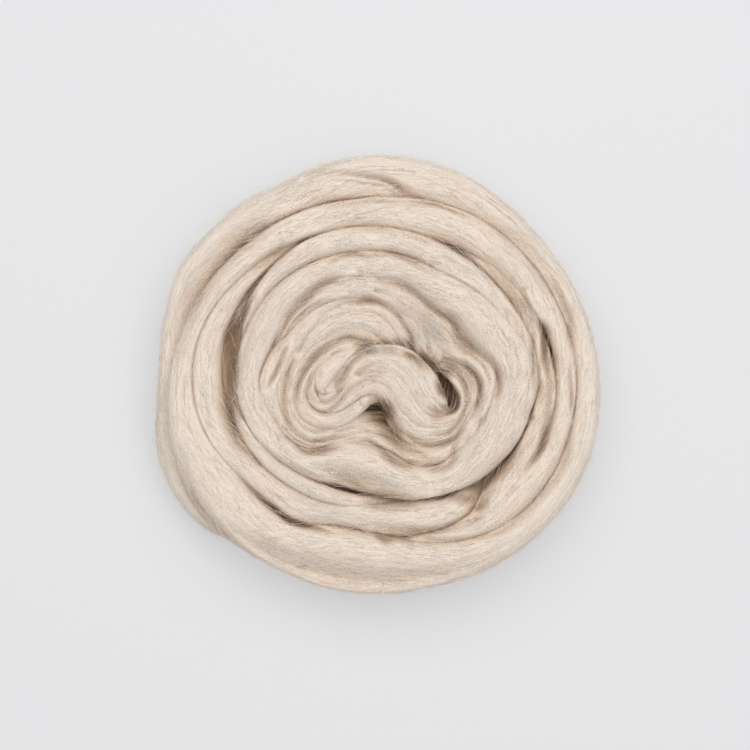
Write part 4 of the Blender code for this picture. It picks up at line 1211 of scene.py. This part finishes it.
def wall_fibres(points, lie, count, rng):
    """Fibres along the outward side of one strand, where nothing lies in front of it."""
    rows, columns = points.shape[:2]
    along, across = np.gradient(points, axis=0), np.gradient(points, axis=1)
    normal = np.cross(along, across)
    normal /= np.linalg.norm(normal, axis=2)[..., None] + 1e-9
    away = np.linalg.norm(points[..., :2], axis=2)
    outward = points[..., :2] / (away[..., None] + 1e-9)
    if np.mean(np.sum(normal[..., :2] * outward, axis=2)[:, columns // 4]) < 0.0:
        normal = -normal
    facing = np.sum(normal[..., :2] * outward, axis=2)
    near = rim_at(lie, points) - WALL_BAND
    i, j = np.nonzero((facing > WALL_FACING) & (away > near) & (points[..., 2] > 1.5))
    inside = (i > 2) & (i < rows - 3)
    i, j = i[inside], j[inside]
    made = []
    pace = np.linalg.norm(along, axis=2).mean()
    t = np.linspace(0.0, 1.0, WALL_STEPS + 1)
    while len(made) < count:
        k = rng.integers(0, len(i))
        start, side = points[i[k], j[k]], normal[i[k], j[k]]
        if lie["tree"].ray_cast(Vector(start + 0.4 * side), Vector(side))[0] is not None:
            continue
        reach = rng.uniform(*WALL_LENGTHS) / pace * rng.choice((-1.0, 1.0))
        a = np.clip(i[k] + np.linspace(0.0, reach, WALL_STEPS + 1), 1, rows - 2.001)
        b = np.clip(j[k] + t * rng.normal(0.0, 2.0) + rng.normal(0.0, 0.15, WALL_STEPS + 1),
                    0, columns - 1.001)
        f, g = (a % 1.0)[:, None], (b % 1.0)[:, None]
        m, n = a.astype(int), b.astype(int)
        place, out = [(field[m, n] * (1 - f) * (1 - g) + field[m + 1, n] * f * (1 - g)
                       + field[m, n + 1] * (1 - f) * g + field[m + 1, n + 1] * f * g)
                      for field in (points, normal)]
        high = rng.uniform(0.02, 0.2) * np.sin(math.pi * t) - 0.2 * np.abs(2 * t - 1) ** 6
        if rng.random() < WALL_LOOSE:
            loose = np.clip((t - 0.45) / 0.55, 0.0, 1.0) ** 1.6
            high = high + rng.uniform(*WALL_STAND) * loose + 0.1
        hair = place + out * high[:, None]
        hair[:, 2] = np.maximum(hair[:, 2], GROUND)
        made.append(hair)
    return np.array(made)


def rim_fuzz(points, lie, count, rng):
    """Short fine hairs standing a little out from the widest part of a strand."""
    away = np.linalg.norm(points[..., :2], axis=2)
    i, j = np.nonzero(away > rim_at(lie, points) - FUZZ_BAND)
    k = rng.integers(0, len(i), count)
    start = points[i[k], j[k]]
    out = start * (1.0, 1.0, 0.0) / away[i[k], j[k]][:, None]
    side = np.stack([-out[:, 1], out[:, 0], 0.0 * out[:, 0]], axis=1)
    side *= rng.choice((-1.0, 1.0), count)[:, None]
    length, stand = rng.uniform(*FUZZ_LENGTHS, count), rng.gamma(*FUZZ_STAND, count)
    rise = rng.normal(0.0, 0.5, count)
    hairs = np.empty((count, FUZZ_POINTS, 3))
    for step in range(FUZZ_POINTS):
        t = step / (FUZZ_POINTS - 1.0)
        hairs[:, step] = (start + side * (length * t)[:, None]
                          + out * (stand * t ** 1.3 - 0.25 + 0.1 * t)[:, None])
        hairs[:, step] -= out * ((length * t) ** 2 / (2.0 * RIM_RADIUS))[:, None]
        hairs[:, step, 2] += rise * t
    hairs[..., 2] = np.maximum(hairs[..., 2], GROUND)
    return hairs


def add_node(tree, kind, place, sockets=None, **values):
    """A node at its place in the tree, with its settings and the values of its sockets."""
    node = tree.nodes.new(kind)
    node.location = place
    for key, value in values.items():
        setattr(node, key, value)
    for key, value in (sockets or {}).items():
        node.inputs[key].default_value = value
    return node


def join(tree, *pairs):
    """Link each pair of sockets."""
    for start, end in pairs:
        tree.links.new(start, end)


def add_ramp(tree, place, first, last, *others):
    """A colour ramp with these stops, each a position and a colour."""
    ramp = add_node(tree, "ShaderNodeValToRGB", place)
    stops = ramp.color_ramp.elements
    for stop, (position, colour) in zip((stops[0], stops[1]), (first, last)):
        stop.position = position
        stop.color = colour
    for position, colour in others:
        stops.new(position).color = colour
    return ramp


def new_group(name, inputs, start_place, end_place):
    """An empty node group that turns these inputs into a tone, and its two end nodes."""
    tree = bpy.data.node_groups.new(name, "ShaderNodeTree")
    for socket, (kind, value) in inputs.items():
        made = tree.interface.new_socket(socket, in_out="INPUT", socket_type=kind)
        if value is not None:
            made.default_value = value
    tree.interface.new_socket("Tone", in_out="OUTPUT", socket_type="NodeSocketFloat")
    return (tree, add_node(tree, "NodeGroupInput", start_place),
            add_node(tree, "NodeGroupOutput", end_place))


def combed_streaks():
    """Node group: fine tone of combed wool, running along the strand."""
    if "Combed Streaks" in bpy.data.node_groups:
        return bpy.data.node_groups["Combed Streaks"]
    tree, start, end = new_group(
        "Combed Streaks",
        {"Vector": ("NodeSocketVector", None), "Wander": ("NodeSocketFloat", 0.06)},
        (-1400, 0), (900, 0))
    # the streaks wander a little from side to side along the strand
    slow = add_node(tree, "ShaderNodeMapping", (-1200, -300), {"Scale": (0.35, 0.6, 1.0)})
    sway = add_node(tree, "ShaderNodeTexNoise", (-1000, -300), {"Scale": 1.0, "Detail": 2.0})
    centred = add_node(tree, "ShaderNodeMath", (-800, -300), {1: 0.5}, operation="SUBTRACT")
    much = add_node(tree, "ShaderNodeMath", (-620, -300), operation="MULTIPLY")
    aside = add_node(tree, "ShaderNodeCombineXYZ", (-440, -300))
    moved = add_node(tree, "ShaderNodeVectorMath", (-260, -100), operation="ADD")
    join(tree, (start.outputs["Vector"], slow.inputs["Vector"]),
         (slow.outputs[0], sway.inputs["Vector"]), (sway.outputs["Fac"], centred.inputs[0]),
         (centred.outputs[0], much.inputs[0]), (start.outputs["Wander"], much.inputs[1]),
         (much.outputs[0], aside.inputs["Y"]), (start.outputs["Vector"], moved.inputs[0]),
         (aside.outputs[0], moved.inputs[1]))
    layers = []
    for k, (reach, width) in enumerate(STREAKS):
        stretch = add_node(tree, "ShaderNodeMapping", (-60, 300 - 260 * k),
                           {"Scale": (reach, width, 1.0), "Location": (3.1 * k, 7.7 * k, 0.0)})
        grain = add_node(tree, "ShaderNodeTexNoise", (140, 300 - 260 * k),
                         {"Scale": 1.0, "Detail": 3.0, "Roughness": 0.6})
        join(tree, (moved.outputs[0], stretch.inputs["Vector"]),
             (stretch.outputs[0], grain.inputs["Vector"]))
        layers.append(grain.outputs["Fac"])
    both = add_node(tree, "ShaderNodeMath", (400, 100), operation="ADD")
    whole = add_node(tree, "ShaderNodeMath", (560, 100), operation="ADD")
    mean = add_node(tree, "ShaderNodeMath", (720, 100), {1: 3.0}, operation="DIVIDE")
    join(tree, (layers[0], both.inputs[0]), (layers[1], both.inputs[1]),
         (both.outputs[0], whole.inputs[0]), (layers[2], whole.inputs[1]),
         (whole.outputs[0], mean.inputs[0]), (mean.outputs[0], end.inputs["Tone"]))
    return tree


def fine_grain():
    """Node group: the fine crimp of the fibres, a small unevenness added to a tone."""
    if "Fine Grain" in bpy.data.node_groups:
        return bpy.data.node_groups["Fine Grain"]
    tree, start, end = new_group(
        "Fine Grain", {"Tone": ("NodeSocketFloat", None), "Amount": ("NodeSocketFloat", 1.85)},
        (-800, 0), (400, 0))
    place = add_node(tree, "ShaderNodeTexCoord", (-800, -250))
    grain = add_node(tree, "ShaderNodeTexNoise", (-600, -250), {"Scale": 2900.0, "Detail": 1.0})
    centred = add_node(tree, "ShaderNodeMath", (-400, -250), {1: 0.5}, operation="SUBTRACT")
    added = add_node(tree, "ShaderNodeMath", (0, 0), operation="MULTIPLY_ADD")
    join(tree, (place.outputs["Object"], grain.inputs["Vector"]),
         (grain.outputs["Fac"], centred.inputs[0]), (centred.outputs[0], added.inputs[0]),
         (start.outputs["Amount"], added.inputs[1]), (start.outputs["Tone"], added.inputs[2]),
         (added.outputs[0], end.inputs["Tone"]))
    return tree


def new_material(name, roughness, sheen):
    """A dull material with a soft warm sheen, its node tree and its shader."""
    material = bpy.data.materials.new(name)
    material.use_nodes = True
    shader = material.node_tree.nodes["Principled BSDF"]
    shader.inputs["Roughness"].default_value = roughness
    shader.inputs["Specular IOR Level"].default_value = SPECULAR
    shader.inputs["Sheen Weight"].default_value = sheen
    shader.inputs["Sheen Tint"].default_value = SHEEN_TINT
    return material, material.node_tree, shader


def tinted(colour, share, start=0.0):
    """This share of a colour on top of a grey, without see-through."""
    return [start + share * c for c in colour[:3]] + [1.0]


def wool_material(name, colours, shade, relief):
    """Combed wool: streaks along the strand in tone and relief, soft sheen, and painted shade from
    its Crease attribute that darkens it toward the deep and hollow colours.
    """
    material, tree, shader = new_material(name, roughness=0.85, sheen=0.12)
    shader.inputs["Sheen Roughness"].default_value = 0.45
    # painted shade: shade darkens this copy of the wool
    light = [shade * (a + b) / 2.0 for a, b in zip(colours.pale, colours.warm)][:3] + [1.0]
    dark = tinted(colours.warm, 0.96 * shade)
    place = add_node(tree, "ShaderNodeUVMap", (-1100, 0), uv_map="Strand")
    streaks = add_node(tree, "ShaderNodeGroup", (-900, 0), node_tree=combed_streaks())
    bump = add_node(tree, "ShaderNodeBump", (-300, -300), {"Strength": relief, "Distance": 0.0003})
    grain = add_node(tree, "ShaderNodeGroup", (-700, 300), node_tree=fine_grain())
    ramp = add_ramp(tree, (-500, 100), (0.24, dark), (0.74, light))
    # painted shade: the Crease attribute runs a ramp from white through warm and deep to hollow,
    # which multiplies the wool's colour, darker the deeper the wool lies
    sunk = add_node(tree, "ShaderNodeAttribute", (-800, -150), attribute_name="Crease")
    crease_shade_ramp = add_ramp(tree, (-500, -150), (0.0, WHITE), (1.0, colours.hollow),
                     (0.16, tinted(colours.warm, 0.40, 0.62)), (0.45, colours.deep))
    deep = add_node(tree, "ShaderNodeMix", (-200, 100), data_type="RGBA", blend_type="MULTIPLY")
    deep.inputs[0].default_value = 1.0
    join(tree, (place.outputs["UV"], streaks.inputs["Vector"]),
         (streaks.outputs["Tone"], bump.inputs["Height"]),
         (bump.outputs["Normal"], shader.inputs["Normal"]),
         (streaks.outputs["Tone"], grain.inputs["Tone"]),
         (grain.outputs["Tone"], ramp.inputs["Fac"]),
         (sunk.outputs["Fac"], crease_shade_ramp.inputs["Fac"]), (ramp.outputs["Color"], deep.inputs[6]),
         (crease_shade_ramp.outputs["Color"], deep.inputs[7]), (deep.outputs[2], shader.inputs["Base Color"]))
    return material


def fibre_material(name, colours):
    """One fine fibre: a plain soft colour that differs from hair to hair, running from the hollow
    and deep colours of painted shade through warm to pale.
    """
    material, tree, shader = new_material(name, roughness=0.6, sheen=0.10)
    pale = [min(1.0, c * 1.08) for c in colours.pale][:3] + [1.0]
    place = add_node(tree, "ShaderNodeUVMap", (-900, 0), uv_map="Strand")
    split = add_node(tree, "ShaderNodeSeparateXYZ", (-700, 0))
    ramp = add_ramp(tree, (-500, 0), (0.0, colours.hollow), (0.8, pale),
                    (0.16, colours.deep), (0.36, colours.warm))
    stretch = add_node(tree, "ShaderNodeMapping", (-900, -250), {"Scale": (24.0, 0.0, 0.0)})
    grain = add_node(tree, "ShaderNodeTexNoise", (-700, -250), {"Scale": 1.0, "Detail": 1.0})
    glint = add_node(tree, "ShaderNodeMath", (-600, -100), operation="ADD")
    centred = add_node(tree, "ShaderNodeMath", (-520, -100), {1: 0.5}, operation="SUBTRACT")
    speck = add_node(tree, "ShaderNodeGroup", (-650, 200), node_tree=fine_grain())
    join(tree, (place.outputs["UV"], split.inputs[0]),
         (place.outputs["UV"], stretch.inputs["Vector"]),
         (stretch.outputs[0], grain.inputs["Vector"]), (grain.outputs["Fac"], glint.inputs[0]),
         (split.outputs["Y"], glint.inputs[1]), (glint.outputs[0], centred.inputs[0]),
         (centred.outputs[0], speck.inputs["Tone"]), (speck.outputs["Tone"], ramp.inputs["Fac"]),
         (ramp.outputs["Color"], shader.inputs["Base Color"]))
    return material


class RovingSizes(bpy.types.PropertyGroup):
    """Sizes of the wound roving."""

    lock_depth: FloatProperty(
        name="Lock depth", description="How deep the creases between locks of fibre are",
        default=0.0003, min=0.0, max=0.004, unit="LENGTH", subtype="DISTANCE", precision=5)
    crease_strength: FloatProperty(
        name="Crease strength", description="How strongly the named creases are pressed in",
        default=1.0, min=0.0, max=2.0, subtype="FACTOR")
    fibre_width: FloatProperty(
        name="Fibre width", description="Thickness of one fine tuft of surface fibre",
        default=0.00012, min=0.00002, max=0.0005, unit="LENGTH", subtype="DISTANCE",
        precision=6)
    fibre_count: IntProperty(
        name="Surface fibres", description="How many fine fibres lie on the turns",
        default=3620, min=0, max=5000)
    seed: IntProperty(
        name="Seed", description="Which of the many ways the locks fall", default=7, min=0)


class RovingColours(bpy.types.PropertyGroup):
    """Colours of the wool, of the painted shade in its creases and hollows, and of the surface
    below it.
    """

    pale: FloatVectorProperty(
        name="Pale wool", description="Colour of the palest streaks", subtype="COLOR",
        size=4, default=(0.90, 0.85, 0.80, 1.0), min=0.0, max=1.0)
    warm: FloatVectorProperty(
        name="Warm wool", description="Colour of the tan streaks", subtype="COLOR",
        size=4, default=(0.80, 0.67, 0.54, 1.0), min=0.0, max=1.0)
    # painted shade: the colour the wool is painted down in a crease
    deep: FloatVectorProperty(
        name="Deep wool", description="Colour of the wool down in a crease", subtype="COLOR",
        size=4, default=(0.555, 0.45, 0.35, 1.0), min=0.0, max=1.0)
    # painted shade: the colour the wool is painted at the bottom of a deep hollow
    hollow: FloatVectorProperty(
        name="Hollow wool", description="Colour of the wool at the bottom of a deep hollow",
        subtype="COLOR", size=4, default=(0.40, 0.285, 0.20, 1.0), min=0.0, max=1.0)
    floor: FloatVectorProperty(
        name="Floor", description="Colour of the plain surface below", subtype="COLOR",
        size=4, default=(0.42, 0.42, 0.425, 1.0), min=0.0, max=1.0)


class ROVING_OT_outer_turns(bpy.types.Operator):
    """Wind the outer turns of roving"""

    bl_idname = "roving.outer_turns"
    bl_label = "Outer turns"

    def execute(self, context):
        return wind_group(context, "outer_turns", "outer")


class ROVING_OT_inner_turns(bpy.types.Operator):
    """Wind the high inner turns of roving"""

    bl_idname = "roving.inner_turns"
    bl_label = "Inner turns"

    def execute(self, context):
        return wind_group(context, "inner_turns", "inner")


class ROVING_OT_folded_middle(bpy.types.Operator):
    """Fold the inner end of the roving into an S"""

    bl_idname = "roving.folded_middle"
    bl_label = "Folded middle"

    def execute(self, context):
        # painted shade: the folded middle's copy of the wool is a little darker
        return wind_group(context, "folded_middle", "middle", shade=0.97)


class ROVING_OT_under_turns(bpy.types.Operator):
    """Wind the layer of roving below, flat where it lies"""

    bl_idname = "roving.under_turns"
    bl_label = "Under turns"

    def execute(self, context):
        # painted shade: the under turns' copy of the wool is a little darker
        return wind_group(context, "under_turns", "under", shade=0.97, relief=0.5)


class ROVING_OT_outer_fibres(bpy.types.Operator):
    """Comb a coat of fine fibres over the outer turns"""

    bl_idname = "roving.outer_fibres"
    bl_label = "Fibres of the outer turns"

    def execute(self, context):
        return fibre_coat(context, "outer_fibres")


class ROVING_OT_short_fibres(bpy.types.Operator):
    """Comb a second coat of shorter fibres over the outer turns"""

    bl_idname = "roving.short_fibres"
    bl_label = "Short fibres of the outer turns"

    def execute(self, context):
        return fibre_coat(context, "short_fibres")


class ROVING_OT_inner_fibres(bpy.types.Operator):
    """Comb a coat of fine fibres over the high inner turns"""

    bl_idname = "roving.inner_fibres"
    bl_label = "Fibres of the inner turns"

    def execute(self, context):
        return fibre_coat(context, "inner_fibres")


class ROVING_OT_middle_fibres(bpy.types.Operator):
    """Comb a coat of fine fibres over the folded middle"""

    bl_idname = "roving.middle_fibres"
    bl_label = "Fibres of the folded middle"

    def execute(self, context):
        return fibre_coat(context, "middle_fibres")


class ROVING_OT_crease_fibres(bpy.types.Operator):
    """Lay fine darker fibres down in the creases, as painted shade along their bottoms"""

    bl_idname = "roving.crease_fibres"
    bl_label = "Fibres down in the creases"

    def execute(self, context):
        sizes = context.scene.roving_sizes
        rng = np.random.default_rng(sizes.seed + SEEDS["crease"])
        hairs, deeps = crease_fibres(strand_plan(sizes)[1], rng)
        # painted shade: the crease fibres are darker the deeper the crease
        tones = (CREASE_TONE - CREASE_TONE_LOSS * deeps
                 + rng.normal(0.0, CREASE_TONE_SPREAD, len(hairs)))
        tones = np.clip(tones, 0.04, 0.5)
        widths = hair_radius(sizes) * rng.uniform(*HAIR_WIDTHS, len(hairs))
        return spun(context, "crease_fibres", hairs, widths, tones)


class ROVING_OT_wall_fibres(bpy.types.Operator):
    """Comb fibres round the outside of the nest, with short ends standing out as fuzz"""

    bl_idname = "roving.wall_fibres"
    bl_label = "Fibres round the outside"

    def execute(self, context):
        sizes = context.scene.roving_sizes
        seed = sizes.seed + SEEDS["wall"]
        rng = np.random.default_rng(seed)
        groups, lie = strand_plan(sizes)
        hairs = np.concatenate([
            wall_fibres(groups[group][name][0], lie, int(share * sizes.fibre_count), rng)
            for group, (name, share) in WALL_SHARES.items()])
        x, y = hairs[:, 0, 0], hairs[:, 0, 1]
        # painted light: fibre_tones paints the wall fibres paler at the rim
        tones = fibre_tones(x, y, 0.0 * x, WALL_TONE_SPREAD, seed + TONE_SEED, rng)
        widths = hair_radius(sizes) * rng.uniform(*HAIR_WIDTHS, len(hairs))
        return spun(context, "wall_fibres", hairs, widths, tones)


class ROVING_OT_rim_fuzz(bpy.types.Operator):
    """Let short fine hairs stand out round the rim"""

    bl_idname = "roving.rim_fuzz"
    bl_label = "Fuzz round the rim"

    def execute(self, context):
        sizes = context.scene.roving_sizes
        rng = np.random.default_rng(sizes.seed + SEEDS["fuzz"])
        groups, lie = strand_plan(sizes)
        count = int(FUZZ_SHARE * sizes.fibre_count)
        hairs = np.concatenate([rim_fuzz(groups["outer"]["outer turn"][0], lie, count, rng),
                                rim_fuzz(groups["under"]["under turn"][0], lie, count // 4, rng)])
        widths = hair_radius(sizes) * rng.uniform(*FUZZ_WIDTHS, len(hairs))
        # painted light: the fuzz takes paler tones to brighten the rim
        return spun(context, "rim_fuzz", hairs, widths, rng.uniform(*FUZZ_TONES, len(hairs)))


class ROVING_OT_stray_hairs(bpy.types.Operator):
    """Let stray hairs lie across the turns, and set the small tufts"""

    bl_idname = "roving.stray_hairs"
    bl_label = "Stray hairs and tufts"

    def execute(self, context):
        sizes = context.scene.roving_sizes
        rng = np.random.default_rng(sizes.seed + SEEDS["stray"])
        lie = strand_plan(sizes)[1]
        hairs = []
        for whose, share in enumerate(STRAY_SHARES):
            count = int(share * sizes.fibre_count)
            x, y = scattered(lie, whose, count, rng)
            hairs.append(combed(lie, x, y, rng.uniform(*STRAY_LENGTHS, count),
                                rng.normal(0.0, 0.22, count), rng.uniform(0.0, 0.2, count),
                                rng.uniform(*STRAY_LIFT, count), rng, STRAY_STEPS, crimp=0.2,
                                free=0.75))
        for x, y, spread, angle, fan, length, count in TUFTS.values():
            angle = np.radians(angle + fan * rng.standard_normal(count))
            x = x - CENTRE[0] + spread * rng.standard_normal(count)
            y = y - CENTRE[1] + spread * rng.standard_normal(count)
            hairs.append(combed(lie, x, y, length * rng.uniform(0.6, 1.3, count),
                                rng.normal(0.0, 0.2, count), rng.uniform(0.0, 0.2, count),
                                rng.uniform(*TUFT_LIFT, count), rng, STRAY_STEPS, crimp=0.15,
                                angle=angle, free=0.7))
        hairs = np.concatenate(hairs)
        widths = hair_radius(sizes, STRAY_WIDTH) * rng.uniform(*FUZZ_WIDTHS, len(hairs))
        return spun(context, "stray_hairs", hairs, widths, rng.uniform(*STRAY_TONES, len(hairs)))


class ROVING_OT_stage(bpy.types.Operator):
    """Set the plain floor, the soft lights and the camera above the nest"""

    bl_idname = "roving.stage"
    bl_label = "Stage"

    def execute(self, context):
        scene = context.scene
        bpy.ops.object.select_all(action="DESELECT")
        bpy.ops.mesh.primitive_plane_add(size=FLOOR_SIZE, location=(0, 0, 0))
        floor = context.object
        floor.name = "floor"
        paint = bpy.data.materials.new("pale floor")
        paint.use_nodes = True
        shader = paint.node_tree.nodes["Principled BSDF"]
        shader.inputs["Base Color"].default_value = scene.roving_colours.floor
        shader.inputs["Roughness"].default_value = 0.6
        shader.inputs["Emission Color"].default_value = FLOOR_GLOW
        shader.inputs["Emission Strength"].default_value = 0.34
        floor.data.materials.append(paint)
        world = bpy.data.worlds.new("soft room")
        world.use_nodes = True
        world.node_tree.nodes["Background"].inputs["Color"].default_value = WHITE
        world.node_tree.nodes["Background"].inputs["Strength"].default_value = 0.45
        scene.world = world
        for name, (place, size, power) in LAMPS.items():
            bpy.ops.object.light_add(type="AREA", location=place)
            lamp = context.object
            lamp.name = name
            lamp.data.shape = "SQUARE"
            lamp.data.size = size
            lamp.data.energy = power
            aim = Vector(LAMP_AIM) - Vector(place)
            lamp.rotation_euler = aim.to_track_quat("-Z", "Y").to_euler()
        bpy.ops.object.camera_add(location=CAMERA_PLACE, rotation=(0, 0, 0))
        camera = context.object
        camera.name = "camera"
        camera.data.sensor_width = SENSOR
        camera.data.lens = SENSOR * VIEW_DISTANCE / VIEW_WIDTH
        scene.camera = camera
        scene.view_settings.view_transform = "Standard"
        return {"FINISHED"}


class ROVING_PT_panel(bpy.types.Panel):
    """Sizes, colours and steps of the wool roving"""

    bl_label = "Wool Roving Nest"
    bl_idname = "ROVING_PT_panel"
    bl_space_type = "VIEW_3D"
    bl_region_type = "UI"
    bl_category = "Roving"

    def draw(self, context):
        scene = context.scene
        for group in (scene.roving_sizes, scene.roving_colours):
            box = self.layout.box()
            for name in group.bl_rna.properties.keys():
                if name not in ("rna_type", "name"):
                    box.prop(group, name)
        for step in STEPS:
            self.layout.operator(step.bl_idname)


STEPS = (ROVING_OT_under_turns, ROVING_OT_outer_turns, ROVING_OT_inner_turns,
         ROVING_OT_folded_middle, ROVING_OT_outer_fibres, ROVING_OT_short_fibres,
         ROVING_OT_inner_fibres, ROVING_OT_middle_fibres, ROVING_OT_crease_fibres,
         ROVING_OT_wall_fibres, ROVING_OT_rim_fuzz, ROVING_OT_stray_hairs, ROVING_OT_stage)
CLASSES = (RovingSizes, RovingColours) + STEPS + (ROVING_PT_panel,)


def register():
    for one in CLASSES:
        bpy.utils.register_class(one)
    bpy.types.Scene.roving_sizes = PointerProperty(type=RovingSizes)
    bpy.types.Scene.roving_colours = PointerProperty(type=RovingColours)


def unregister():
    del bpy.types.Scene.roving_colours
    del bpy.types.Scene.roving_sizes
    for one in reversed(CLASSES):
        bpy.utils.unregister_class(one)


def main():
    register()
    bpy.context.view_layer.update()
    bpy.ops.roving.under_turns()
    bpy.ops.roving.outer_turns()
    bpy.ops.roving.inner_turns()
    bpy.ops.roving.folded_middle()
    bpy.ops.roving.outer_fibres()
    bpy.ops.roving.short_fibres()
    bpy.ops.roving.inner_fibres()
    bpy.ops.roving.middle_fibres()
    bpy.ops.roving.crease_fibres()
    bpy.ops.roving.wall_fibres()
    bpy.ops.roving.rim_fuzz()
    bpy.ops.roving.stray_hairs()
    bpy.ops.roving.stage()


if __name__ == "__main__":
    main()
